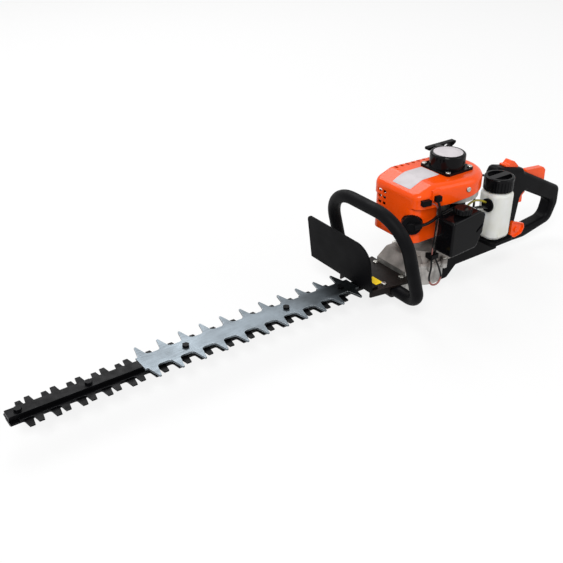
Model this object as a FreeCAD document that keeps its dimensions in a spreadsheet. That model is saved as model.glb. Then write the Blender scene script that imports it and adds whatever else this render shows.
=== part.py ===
import FreeCAD, Part
import math
import os
import re
from FreeCAD import Vector, Rotation, Placement
import Sketcher

# Petrol hedge trimmer with a double-sided reciprocating blade.
# Millimetres, +Z up, +X towards the rear handle, +Y to the machine's right.
# The origin is on the crankshaft's axis, at the sole of the skid foot.

SIZES = [
    # blades, guide bars and tooth guard
    ("tooth_pitch", 35.0, "spacing of the teeth along the blade"),
    ("guard_teeth", 11, "teeth on each side of the fixed tooth guard"),
    ("guard_first_x", -554.0, "foremost tooth of the tooth guard"),
    ("guard_rear_x", -190.0, "rear end of the tooth guard"),
    ("guard_reach", 39.0, "tooth guard tip, from the centre line"),
    ("guard_half", 15.0, "half width of the tooth guard's bar"),
    ("guard_thick", 3.0, "tooth guard plate"),
    ("deck_z", 50.0, "top face of the tooth guard and the bracket"),
    ("guard_root", 17.5, "width of a guard tooth at its root"),
    ("guard_tip", 2.6, "width of a guard tooth at its tip"),
    ("guard_flare", 7.0, "rounding between a guard tooth and the bar"),
    ("guard_lead", 2.0, "guard plate ahead of its first teeth"),
    ("bar_half", 8.5, "half width of the guide bars"),
    ("bar_thick", 2.6, "upper guide bar"),
    ("lower_bar_thick", 3.0, "lower guide bar"),
    ("bar_tip_x", -750.0, "front end of the guide bars"),
    ("bar_rear_x", -97.0, "rear end of the guide bars"),
    ("blade_thick", 2.1, "each moving blade"),
    ("blade_gap", 0.2, "running gap between the sliding plates"),
    ("blade_teeth", 15, "teeth on each side of a moving blade"),
    ("blade_first_x", -721.0, "foremost pair of teeth"),
    ("blade_nose", 23.0, "blade ahead of its first teeth"),
    ("blade_neck_x", -203.0, "where a blade narrows to its tail"),
    ("blade_half", 14.0, "half width of a blade"),
    ("blade_tail_half", 12.0, "half width of a blade's tail"),
    ("blade_reach", 28.5, "blade tooth tip, from the centre line"),
    ("blade_root", 13.0, "width of a blade tooth at its root"),
    ("blade_tip", 7.0, "width of a blade tooth at its tip"),
    ("blade_flare", 3.0, "rounding between a blade tooth and the blade"),
    ("blade_offset", 12.5, "how far the blades stand apart at rest"),
    ("stroke", 17.5, "travel of each blade"),
    ("bolt_radius", 3.0, "guide bolts, which run in the blades' slots"),
    ("bolt_head", 5.4, "guide bolt heads and nuts, across corners"),
    ("bolt_head_height", 3.6, "guide bolt heads"),
    ("tip_bolt_x", -735.0, "guide bolt at the tip"),
    ("front_bolt_x", -640.0, "second guide bolt"),
    ("middle_bolt_x", -494.0, "third guide bolt"),
    ("back_bolt_x", -320.0, "fourth guide bolt"),
    ("rear_bolt_x", -215.0, "last guide bolt"),
    # bracket, hand guard, loop handle
    ("bracket_front_x", -184.0, "front edge of the bracket"),
    ("bracket_rear_x", -104.0, "rear edge of the bracket"),
    ("bracket_front_half", 38.0, "half width of the bracket's front edge"),
    ("bracket_rear_half", 51.0, "half width of the bracket's rear edge"),
    ("bracket_thick", 3.0, "bracket plate"),
    ("bracket_lip", 8.0, "depth of the bracket's folded sides"),
    ("lip_gap", 6.0, "bracket lips, clear of the guard plate"),
    ("bar_gap", 2.3, "support bar, clear of the guard plate"),
    ("loop_radius", 10.4, "outer radius of the loop handle"),
    ("loop_bore", 8.0, "inner radius of the loop handle's tube"),
    ("loop_half_foot", 92.0, "half width of the loop at its foot"),
    ("loop_half_top", 87.0, "half width of the loop at its top"),
    ("loop_height", 146.0, "height of the loop, between tube centres"),
    ("loop_lean", 0.28, "forward lean of the loop, per unit of height"),
    ("loop_corner", 22.0, "bend radius at the foot of the loop"),
    ("loop_crown", 61.0, "bend radius at the top of the loop"),
    ("loop_foot_x", -132.0, "the loop's foot"),
    ("loop_end", 22.0, "tube ends, from the centre line"),
    ("clamp_y", 31.0, "loop clamps, from the centre line"),
    ("clamp_width", 12.0, "loop clamps"),
    ("clamp_wall", 4.0, "wall of a loop clamp"),
    ("shield_foot_x", -187.0, "foot of the hand guard"),
    ("shield_left", 42.0, "hand guard, left of the centre line"),
    ("shield_right", 111.0, "hand guard, right of the centre line"),
    ("shield_height", 80.0, "hand guard, above the bracket"),
    ("shield_thick", 3.2, "hand guard plate"),
    ("shield_lean", 0.13, "forward lean of the hand guard, per unit of height"),
    ("shield_corner", 30.0, "rounding of the hand guard's left top corner"),
    ("shield_round", 9.0, "rounding of the hand guard right corner"),
    ("shield_screw_y", 23.0, "screws of the hand guard, from the centre line"),
    ("shield_flange", 20.0, "depth of the hand guard's foot"),
    ("screw_radius", 2.2, "housing screws"),
    ("screw_head", 4.2, "heads of the housing screws"),
    ("screw_head_height", 2.4, "height of the screw heads"),
    # gear case and drive
    ("gear_x", -44.0, "drive gear's axis"),
    ("case_radius", 41.0, "gear case, round both of its axes"),
    ("case_wall", 4.0, "gear case wall"),
    ("case_floor_z", 21.0, "underside of the gear case"),
    ("case_split_z", 58.0, "joint between the gear case's halves"),
    ("case_top_z", 84.0, "top of the gear case"),
    ("nose_half", 34.0, "half width of the gear case's nose"),
    ("nose_front_x", -108.0, "front of the nose, above the bracket"),
    ("nose_top_z", 76.0, "top of the nose"),
    ("nose_slope", 16.0, "inward lean of the nose's front face"),
    ("nose_taper", 4.0, "inward lean of the nose's sides"),
    ("rim_reach", 4.0, "case rims, beyond the case wall"),
    ("rim_thick", 4.0, "thickness of the case rims"),
    ("lug_radius", 5.5, "screw lugs"),
    ("lug_height", 8.0, "screw lugs, above the joint"),
    ("lug_depth", 8.0, "screw lugs, below the joint"),
    ("bore_floor", 1.0, "floor of the shaft bores"),
    ("lug_sink", 1.0, "screw lugs, into the case wall"),
    ("lug_turn", 20.0, "turn of the front screw lugs from the cross axis, degrees"),
    ("lug_along", 12.0, "rear screw lugs, behind the gear axis"),
    ("gear_module", 2.0, "module of the reduction gears"),
    ("gear_teeth", 33, "teeth of the drive gear"),
    ("pinion_teeth", 11, "teeth of the clutch drum's pinion"),
    ("gear_thick", 6.0, "drive gear"),
    ("gear_lift", 3.5, "drive gear, above the joint of the case"),
    ("gear_gap", 1.5, "room above the drive gear"),
    ("drum_gap", 3.0, "room round the clutch drum"),
    ("gear_addendum", 0.85, "tooth height over the pitch circle, in modules"),
    ("gear_dedendum", 1.1, "tooth depth under the pitch circle, in modules"),
    ("gear_tooth_share", 0.2, "share of the pitch taken by the tip of a tooth"),
    ("gear_flank", 20.0, "flank angle of the teeth, degrees"),
    ("disc_gap", 0.6, "drum above the gear"),
    ("disc_thick", 3.0, "crank discs"),
    ("hub_radius", 11.0, "hub of the drive gear"),
    ("pin_radius", 4.0, "crank pins that drive the blades"),
    ("yoke_thick", 2.0, "yoke plates on the blades' tails"),
    ("yoke_rim", 4.0, "rim of a yoke plate"),
    ("yoke_round", 12.0, "corners of a yoke plate"),
    ("shaft_radius", 5.0, "drive gear's shaft"),
    ("drum_radius", 30.0, "clutch drum"),
    ("drum_wall", 2.0, "clutch drum wall"),
    ("drum_height", 13.0, "clutch drum"),
    ("shoe_height", 7.0, "clutch shoes"),
    ("shoe_gap", 0.8, "clutch shoes inside the drum"),
    ("shoe_split", 1.5, "half of the gap between the shoes"),
    # engine
    ("crank_radius", 6.0, "crankshaft"),
    ("crankcase_radius", 34.0, "crankcase"),
    ("crankcase_top_z", 163.0, "top of the crankcase"),
    ("cylinder_z", 136.0, "cylinder axis"),
    ("barrel_radius", 20.0, "cylinder barrel"),
    ("fin_half", 27.0, "half width of the cooling fins"),
    ("fin_pitch", 6.0, "spacing of the cooling fins"),
    ("fin_thick", 2.2, "one cooling fin"),
    ("fin_count", 8, "cooling fins"),
    ("fin_first_x", -86.0, "foremost cooling fin"),
    ("fin_rise", 22.0, "half height of the cooling fins"),
    ("plug_x", -78.0, "spark plug, along the machine"),
    ("plug_y", -10.0, "spark plug, across the machine"),
    ("plug_rise", 4.0, "spark plug seat, above the cylinder axis"),
    ("plug_length", 24.0, "spark plug, seat to tip"),
    ("plug_radius", 5.0, "thread of the spark plug"),
    ("plug_nose", 4.0, "insulator of the spark plug"),
    ("plug_hex", 8.0, "spark plug hexagon, across corners"),
    ("plug_hex_gap", 1.5, "room round the plug hexagon"),
    ("plug_hex_height", 6.0, "height of the plug hexagon"),
    ("plug_seat", 12.0, "depth of the plug's seat"),
    ("plug_insulator", 12.0, "length of the plug's insulator"),
    ("boot_radius", 15.5, "rim disc of the plug boot"),
    ("boot_gap", 1.5, "room round the plug boot in the cover"),
    ("boot_disc_at", 30.0, "plug boot's disc, from the plug's seat"),
    ("boot_disc", 5.0, "thickness of the plug boot's disc"),
    ("boot_hub", 7.0, "hub of the plug boot"),
    ("boot_arm", 12.0, "length of the boot's lead sleeve"),
    ("boot_arm_radius", 5.0, "boot's lead sleeve"),
    ("plug_lead_radius", 2.5, "spark plug lead"),
    ("foot_height", 10.0, "height of the crankcase foot"),
    ("foot_round", 8.0, "upright corners of the crankcase foot"),
    ("drum_room_height", 5.0, "drum room in the crankcase foot"),
    ("muffler_length", 62.0, "muffler, front to rear"),
    ("muffler_depth", 24.0, "muffler, side to side"),
    ("muffler_lead", 10.0, "muffler, ahead of the foremost fin"),
    ("muffler_round", 7.0, "rounding of the muffler"),
    ("fan_radius", 46.0, "flywheel fan"),
    ("fan_z", 168.0, "underside of the flywheel"),
    ("fan_height", 20.0, "flywheel with its fan blades"),
    ("fan_blades", 14, "blades of the flywheel fan"),
    ("fan_disc", 4.0, "disc of the flywheel"),
    ("fan_hub", 16.0, "hub of the flywheel"),
    ("fan_blade_thick", 2.0, "one fan blade"),
    ("fan_blade_turn", 14.0, "turn of each fan blade, degrees"),
    # engine cover
    ("cover_radius", 58.0, "fan shroud"),
    ("cover_top_z", 203.0, "top of the engine cover"),
    ("shroud_foot_z", 168.0, "lower edge of the fan shroud"),
    ("cover_foot_z", 108.0, "lower edge of the cylinder's cover"),
    ("cover_front_x", -104.0, "front face of the engine cover"),
    ("cover_left", 42.0, "cover's front, left of the crank axis"),
    ("cover_right", 64.0, "cover's front, right of the crank axis"),
    ("cover_inset", 4.0, "cylinder's cover inside the shroud's sides"),
    ("cover_rear_x", -54.0, "rear edge of the cylinder's cover"),
    ("cover_wall", 2.5, "wall of the engine cover"),
    ("rim_top_z", 190.0, "top of the rim that carries the cover"),
    ("rim_wall", 3.0, "wall of the rim that carries the cover"),
    ("plate_thick", 4.0, "fan plate on the crankcase"),
    ("plate_front_x", -40.0, "front end of the fan plate"),
    ("cover_corner", 18.0, "upright corners of the engine cover"),
    ("cover_edge", 11.0, "rounding of the top edge"),
    ("slope_x", -70.0, "where the cover's top starts to slope down"),
    ("slope_drop", 14.0, "drop of the slope at the front face"),
    ("slope_round", 25.0, "rounding where the slope starts"),
    ("rise_x", -40.0, "where the shroud's lower edge starts to rise"),
    ("rise_height", 12.0, "rise of the shroud's lower edge at the rear"),
    ("boss_along", 34.4, "cable boss, along the cover's wall from the corner"),
    ("boss_half", 8.0, "half size of the cable boss"),
    ("boss_z", 190.0, "height of the cable boss"),
    ("boss_depth", 4.0, "cable boss, out from the cover"),
    ("boss_round", 1.0, "rounding of the cable boss"),
    ("cover_screw_z", 186.5, "height of the cover's side screws"),
    ("vent_width", 19.0, "vent slots in the front"),
    ("vent_height", 5.4, "height of a vent slot"),
    ("vent_pitch", 10.0, "spacing of the vent slots"),
    ("vent_count", 4, "front vents in each row"),
    ("side_vent_width", 12.0, "width of a side vent slot"),
    ("top_vent_count", 7, "vent slots along the top edge"),
    ("top_vent_pitch", 12.0, "spacing of the top vent slots"),
    ("top_vent_width", 5.0, "width of a top vent slot"),
    ("top_vent_reach", 5.0, "top vent slots, beyond the rounded edge"),
    ("cable_plug_half", 5.5, "half width of the cable plug"),
    ("cable_plug_depth", 6.0, "cable plug, out from its boss"),
    ("connector_along", 15.2, "stop connector, along the cover's wall"),
    ("connector_half", 8.0, "half width of the stop connector"),
    ("connector_z", 180.5, "height of the stop connector"),
    ("connector_rise", 4.5, "half height of the stop connector"),
    ("connector_depth", 7.0, "stop connector, out from the cover"),
    # recoil starter
    ("starter_radius", 29.0, "starter cap"),
    ("starter_height", 27.0, "starter cap above the cover"),
    ("starter_edge", 4.0, "rounding of the starter cap top"),
    ("dish_depth", 0.6, "dish in the starter cap"),
    ("flange_round", 5.5, "starter flange corners"),
    ("rope_boss", 7.0, "rope boss on the starter cap"),
    ("rope_radius", 1.8, "starter rope"),
    ("rope_gap", 0.6, "room round the rope in its hole"),
    ("rope_x", 18.0, "rope, beside the crank axis"),
    ("rope_reach", 16.0, "rope boss, out from the starter cap"),
    ("rope_drop", 11.0, "rope, below the starter cap's top"),
    ("post_radius", 4.0, "post that carries the rope pulley"),
    ("pulley_gap", 0.5, "rope pulley, under the starter cap"),
    ("pulley_height", 14.0, "height of the rope pulley"),
    ("pulley_flange", 3.0, "flanges of the rope pulley"),
    ("groove_depth", 5.0, "depth of the rope pulley's groove"),
    ("grip_bar", 2.75, "half thickness of the starter grip's bar"),
    ("grip_tail", 16.0, "starter grip, behind the rope"),
    ("grip_nose", 48.0, "starter grip, ahead of the rope"),
    ("grip_drop", 16.0, "drop of the starter grip's front end"),
    ("grip_width", 9.0, "width of the starter grip"),
    ("starter_wall", 2.2, "starter cap wall"),
    ("flange_half_x", 30.0, "half length of the starter flange"),
    ("flange_half_y", 32.0, "half width of the starter flange"),
    ("flange_thick", 4.0, "starter flange"),
    ("pulley_radius", 20.0, "rope pulley"),
    # carburettor and filter
    ("filter_front_x", -66.0, "air filter box, front"),
    ("filter_rear_x", 6.0, "air filter box, rear"),
    ("filter_face_y", -88.0, "outer face of the filter cover"),
    ("filter_split_y", -68.0, "joint of the filter cover and its base"),
    ("filter_back_y", -55.0, "back of the filter base"),
    ("filter_low_z", 93.0, "air filter box, lowest point"),
    ("filter_high_z", 160.0, "air filter box, highest point"),
    ("filter_wall", 2.0, "filter cover wall"),
    ("filter_corner", 5.0, "smallest corners of the filter box"),
    ("filter_lean", 7.0, "slant of the filter box sides"),
    ("filter_edge", 3.5, "rounding of the filter cover face"),
    ("recess_depth", 1.5, "recess in the filter cover face"),
    ("recess_length", 14.0, "length of the filter cover's recess"),
    ("recess_width", 4.0, "width of the filter cover's recess"),
    ("knob_ahead", 5.0, "filter knob, ahead of the box middle"),
    ("knob_radius", 13.0, "filter knob"),
    ("knob_height", 8.5, "height of the filter knob"),
    ("knob_rib", 1.2, "one rib of the filter knob"),
    ("knob_ribs", 16, "number of ribs on the filter knob"),
    ("carb_x", -38.0, "carburettor's bore"),
    ("carb_z", 124.0, "carburettor's bore height"),
    ("carb_half", 15.0, "half size of the carburettor's body"),
    ("carb_back_y", -42.0, "back of the carburettor body"),
    ("carb_bore", 9.0, "bore of the carburettor's intake"),
    ("carb_neck", 11.0, "intake neck of the carburettor"),
    ("choke_lug", 7.0, "lug that carries the choke lever"),
    ("choke_lug_depth", 4.7, "choke lever's lug, across the machine"),
    ("choke_gap", 2.7, "choke lever, behind the filter base"),
    ("choke_thick", 3.0, "thickness of the choke lever"),
    ("choke_pin", 2.0, "pin of the choke lever"),
    ("choke_reach", 16.0, "choke lever, from pin to finger tab"),
    # fuel tank
    ("tank_x", 86.0, "tank's centre"),
    ("tank_y", -40.0, "tank's centre, across"),
    ("tank_side", 48.0, "tank across its flats"),
    ("tank_low_z", 72.0, "underside of the tank"),
    ("tank_high_z", 158.0, "shoulder of the tank"),
    ("tank_wall", 2.0, "tank wall"),
    ("tank_corner", 17.0, "upright corners of the tank"),
    ("tank_edge", 9.0, "rounding of the tank ends"),
    ("neck_radius", 17.0, "filler neck"),
    ("neck_height", 12.0, "filler neck above the shoulder"),
    ("cap_radius", 25.0, "tank cap"),
    ("cap_gap", 1.3, "tank cap, above the shoulder"),
    ("cap_height", 22.7, "height of the tank cap"),
    ("cap_edge", 2.5, "rounding of the tank cap top"),
    ("cap_hollow", 5.0, "finger hollows of the tank cap"),
    ("cap_bar", 12.0, "grip bar between the finger hollows"),
    ("cap_flute", 0.9, "one flute of the tank cap"),
    ("cap_flutes", 28, "number of flutes on the tank cap"),
    ("grommet_radius", 11.5, "hose grommet in the tank's front"),
    ("grommet_stem", 6.0, "grommet inside the tank wall"),
    ("grommet_flange", 3.0, "thickness of the grommet's flange"),
    ("grommet_groove", 9.2, "outer radius of the groove in the grommet's face"),
    ("grommet_across", 4.0, "grommet, from the tank centre"),
    ("grommet_drop", 22.0, "grommet, below the shoulder"),
    ("hose_radius", 2.4, "fuel hose"),
    ("return_hose_radius", 1.8, "return hose"),
    ("throttle_cable_radius", 1.9, "throttle cable"),
    ("stop_cable_radius", 2.0, "stop cable"),
    ("stop_wires_radius", 1.0, "stop wires"),
    ("wire_boot_x", -67.0, "wire boot's front"),
    ("wire_boot_y", -50.0, "wire boot's left face"),
    ("wire_boot_z", 74.0, "wire boot's underside"),
    ("wire_boot_length", 16.0, "wire boot, front to rear"),
    ("wire_boot_depth", 14.0, "wire boot, side to side"),
    ("wire_boot_height", 8.0, "height of the wire boot"),
    ("coil_x", -22.0, "ignition coil's front"),
    ("coil_y", -48.0, "ignition coil's left face"),
    ("coil_z", 150.0, "ignition coil's underside"),
    ("coil_length", 22.0, "ignition coil, front to rear"),
    ("coil_depth", 13.0, "ignition coil, side to side"),
    ("coil_height", 12.0, "height of the ignition coil"),
    ("wire_loop_radius", 1.6, "wire loop"),
    # chassis and rear handle
    ("beam_half", 14.0, "half width of the beam"),
    ("beam_low_z", 19.0, "underside of the beam"),
    ("beam_top_z", 38.0, "top of the beam"),
    ("beam_front_x", 6.0, "front end of the beam"),
    ("leg_round", 12.0, "rounding of the skid leg"),
    ("leg_rear_x", 34.0, "rear of the skid leg"),
    ("skid_ahead", 5.0, "skid sole, ahead of the crank axis"),
    ("skid_behind", 14.0, "skid sole, behind the crank axis"),
    ("skid_toe", 5.0, "rounding of the skid's toe"),
    ("column_front_x", 58.0, "front of the tank column"),
    ("shelf_thick", 6.0, "tank shelf"),
    ("shelf_rim", 3.0, "tank shelf, around the tank"),
    ("shelf_round", 8.0, "corners of the tank shelf"),
    ("mount_radius", 8.0, "rubber mounts under the engine"),
    ("mount_first_x", 12.0, "front rubber mount"),
    ("foot_x", 138.0, "rear end of the beam"),
    ("tongue_inset", 5.0, "tongue, inside the beam's faces"),
    ("tongue_length", 15.0, "tongue, into the handle"),
    ("handle_front_x", 112.0, "front end of the rear handle"),
    ("handle_rear_x", 299.0, "rear end of the rear handle"),
    ("handle_half", 14.0, "half width of the rear handle"),
    ("handle_round", 7.0, "rounding of the handle's edges"),
    ("handle_wall", 3.0, "wall of the handle's half shells"),
    ("box_top_z", 179.7, "top of the handle's switch box"),
    ("box_rear_z", 162.0, "rear end of the switch box top"),
    ("box_lean", 7.0, "lean of the switch box's front face"),
    ("neck_cut", 24.0, "handle front above the beam"),
    ("foot_step", 2.0, "handle foot under the beam"),
    ("box_rear_x", 185.0, "rear end of the switch box"),
    ("grip_front_x", 191.0, "front end of the grip"),
    ("grip_front_z", 154.0, "top of the grip at its front end"),
    ("grip_rear_z", 100.0, "top of the grip at its rear end"),
    ("grip_thick", 31.0, "grip, top to bottom"),
    ("heel_thick", 19.0, "upright behind the hand opening"),
    ("hand_front_x", 181.0, "front of the hand opening"),
    ("opening_low_z", 42.0, "floor of the hand opening"),
    ("opening_slant", 34.0, "slant of the hand opening's floor"),
    ("opening_lip", 10.0, "hand opening's front corner, above its floor"),
    ("opening_dip", 4.0, "dip of the hand opening's floor"),
    ("opening_lip_round", 14.0, "rounding of the opening's front corner"),
    ("opening_dip_round", 30.0, "rounding of the opening's floor"),
    ("opening_heel_round", 16.0, "rounding at the opening's heel"),
    ("opening_rear_round", 10.0, "rounding at the opening's upper rear corner"),
    ("opening_top_round", 12.0, "rounding at the opening's upper front corner"),
    ("opening_top_set", 8.0, "opening's upper front corner, behind its lower one"),
    ("belly_round", 60.0, "rounding under the rear handle"),
    ("heel_round", 22.0, "rounding of the handle's heel"),
    ("back_round", 20.0, "rounding of the handle's back"),
    ("tail_round", 12.0, "rounding at the grip's rear end"),
    ("grip_round", 6.0, "rounding where the grip leaves the switch box"),
    ("box_round", 9.0, "corners of the switch box"),
    ("pivot_radius", 2.5, "pivot pins of the controls"),
    ("trigger_half", 5.5, "half width of the trigger and the lever"),
    ("trigger_x", 197.0, "trigger pivot, along the machine"),
    ("trigger_z", 122.0, "height of the trigger pivot"),
    ("trigger_width", 14.0, "width of the trigger, front to rear"),
    ("trigger_length", 31.0, "trigger below its pivot"),
    ("trigger_swing", 9.0, "room for the trigger, each way"),
    ("lever_x", 212.0, "lever pivot, along the machine"),
    ("lever_depth", 9.5, "lever pivot below the grip top"),
    ("lever_front", 10.0, "lever ahead of its pivot"),
    ("lever_length", 37.0, "lever behind its pivot"),
    ("lever_lift", 3.5, "lever front above the grip"),
    ("lever_round", 2.0, "smallest rounding of the lever"),
    ("lever_tail", 22.5, "lever rear above the grip"),
    ("switch_x", 140.0, "stop switch, along the machine"),
    ("switch_length", 34.0, "length of the stop switch"),
    ("switch_half", 7.0, "half width of the stop switch"),
    ("switch_round", 1.0, "smallest rounding of the stop switch"),
    ("switch_peak", 12.0, "peak of the stop switch, from its front end"),
    ("latch_x", 182.0, "latch pivot, along the machine"),
    ("latch_z", 46.0, "height of the latch pivot"),
    ("latch_size", 17.0, "latch, from its pivot"),
    ("latch_thick", 5.0, "thickness of the latch"),
    ("latch_rim", 2.2, "rim of the latch"),
    ("latch_dish", 2.5, "depth of the latch's dish"),
    # fits
    ("fit_gap", 0.3, "clearance between neighbouring pieces"),
    ("run_gap", 0.05, "radial clearance of a shaft in its hole"),
]

doc = FreeCAD.newDocument("HedgeTrimmer")
sheet = doc.addObject("Spreadsheet::Sheet", "Sizes")
for row, (alias, number, note) in enumerate(SIZES, start=1):
    sheet.set("A%d" % row, alias)
    sheet.set("B%d" % row, str(number))
    sheet.setAlias("B%d" % row, alias)
    sheet.set("C%d" % row, note)
doc.recompute()


class Dimensions:
    """The sheet's numbers, read by name."""

    def __getattr__(self, name):
        return float(getattr(sheet, name))


d = Dimensions()
NAMES = set(alias for alias, number, note in SIZES)
NODES = []


# ---------------------------------------------------------------- helpers

def formula(text):
    """Text with sheet names turned into an expression that FreeCAD reads."""
    def named(match):
        word = match.group(0)
        return "Sizes." + word if word in NAMES else word
    return re.sub(r"[A-Za-z_][A-Za-z0-9_]*", named, str(text))


def number(text):
    return float(sheet.evalExpression(str(text)))


def bind(thing, prop, text):
    thing.setExpression(prop, formula(text))


def bind_place(thing, at):
    for axis, text in zip("xyz", at):
        bind(thing, "Placement.Base." + axis, text)


def keep(thing, label):
    """Marks a finished sub-part: its label is the name of its file."""
    thing.Label = label
    NODES.append(thing)
    return thing


def block(name, sizes, at):
    box = doc.addObject("Part::Box", name)
    for prop, text in zip(("Length", "Width", "Height"), sizes):
        bind(box, prop, text)
    bind_place(box, at)
    return box


TURNS = {
    "Z": Rotation(),
    "X": Rotation(Vector(0, 1, 0), 90),
    "Y": Rotation(Vector(1, 0, 0), -90),
}


def rod(name, radius, height, at, axis="Z"):
    """A cylinder from a point along +X, +Y or +Z."""
    cylinder = doc.addObject("Part::Cylinder", name)
    bind(cylinder, "Radius", radius)
    bind(cylinder, "Height", height)
    cylinder.Placement = Placement(Vector(), TURNS[axis])
    bind_place(cylinder, at)
    return cylinder


def fuse(name, things):
    joined = doc.addObject("Part::MultiFuse", name)
    joined.Shapes = things
    joined.Refine = True
    return joined


def cut(name, base, tools):
    tool = tools[0] if len(tools) == 1 else fuse(name + "_tools", tools)
    result = doc.addObject("Part::Cut", name)
    result.Base = base
    result.Tool = tool
    return result


def shaped(label, shape):
    """A sub-part whose form is worked out with Part's own functions."""
    feature = doc.addObject("Part::Feature", label)
    feature.Shape = shape
    feature.Placement = Placement()
    return keep(feature, label)


def rounded_wire(points, closed=True):
    """Straight runs through (point, radius) pairs, joined by tangent arcs."""
    count = len(points)
    starts, ends, arcs = [], [], []
    for index, (corner, radius) in enumerate(points):
        before = points[index - 1][0]
        after = points[(index + 1) % count][0]
        open_end = not closed and index in (0, count - 1)
        if radius <= 0 or open_end:
            starts.append(corner)
            ends.append(corner)
            arcs.append(None)
            continue
        towards = (before - corner).normalize()
        away = (after - corner).normalize()
        turn = towards.getAngle(away)
        back = radius / math.tan(turn / 2)
        middle = (towards + away).normalize()
        centre = corner + middle * (radius / math.sin(turn / 2))
        first = corner + towards * back
        last = corner + away * back
        starts.append(first)
        ends.append(last)
        arcs.append(Part.Arc(first, centre - middle * radius, last).toShape())
    edges = []
    for index in range(count):
        if arcs[index]:
            edges.append(arcs[index])
        if index == count - 1 and not closed:
            break
        following = starts[(index + 1) % count]
        if ends[index].distanceToPoint(following) > 1e-6:
            edges.append(Part.LineSegment(ends[index], following).toShape())
    return Part.Wire(Part.__sortEdges__(edges))


def prism(points, direction):
    """A closed rounded outline carried along a vector."""
    return Part.Face(rounded_wire(points)).extrude(direction)


def tube_along(points, radius, bore=0.0):
    """A round tube along an open rounded path."""
    path = rounded_wire(points, closed=False)
    start = points[0][0]
    heading = points[1][0] - start
    ring = Part.Wire(Part.makeCircle(radius, start, heading))
    tube = path.makePipeShell([ring], True, False, 1)
    if bore > 0:
        inner = Part.Wire(Part.makeCircle(bore, start, heading))
        tube = tube.cut(path.makePipeShell([inner], True, False, 1))
    return tube


def cord_along(label, points, radius):
    """A cord's tube: each arc is as large as its two runs allow."""
    bends = []
    for index, corner in enumerate(points):
        if index in (0, len(points) - 1):
            bends.append((corner, 0.0))
            continue
        back = points[index - 1] - corner
        ahead = points[index + 1] - corner
        turn = math.pi - back.getAngle(ahead)
        bend = 0.45 * min(back.Length, ahead.Length) / math.tan(turn / 2)
        print("%s bend %d: radius %.1f, turn %.0f" % (label, index, bend, math.degrees(turn)))
        bends.append((corner, bend))
    path = rounded_wire(bends, closed=False)
    tube = tube_along(bends, radius)
    wanted = math.pi * radius ** 2 * path.Length
    print("%s length %.1f, volume %.3f of its section times length" % (label, path.Length,
                                                                       tube.Volume / wanted))
    return shaped(label, tube)


def edges_where(shape, test):
    return [edge for edge in shape.Edges if test(edge)]


def middle_of(edge):
    return edge.valueAt((edge.FirstParameter + edge.LastParameter) / 2)


def bolt(at, length):
    """An upright hexagon-head bolt whose head sits on the face at a point."""
    head = Part.Face(Part.makePolygon(hexagon(at, d.bolt_head))).extrude(Vector(0, 0, d.bolt_head_height))
    shank = Part.makeCylinder(d.bolt_radius, length, at - Vector(0, 0, length))
    return head.fuse(shank).removeSplitter()


def hexagon(at, radius):
    corners = []
    for step in range(7):
        angle = math.radians(60 * step)
        corners.append(at + Vector(radius * math.cos(angle), radius * math.sin(angle), 0))
    return corners


def pan_screw(at, direction, length):
    """A housing screw whose domed head sits on the face at a point."""
    axis = Vector(direction).normalize()
    cap = Part.makeCylinder(d.screw_head, d.screw_head_height, at, axis)
    rim = edges_where(cap, lambda edge: middle_of(edge).sub(at).dot(axis) > d.screw_head_height / 2
                      and edge.Curve.TypeId == "Part::GeomCircle")
    cap = cap.makeFillet(d.screw_head_height / 2, rim)
    body = Part.makeCylinder(d.screw_radius, length, at - axis * length, axis)
    return cap.fuse(body).removeSplitter()


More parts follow.
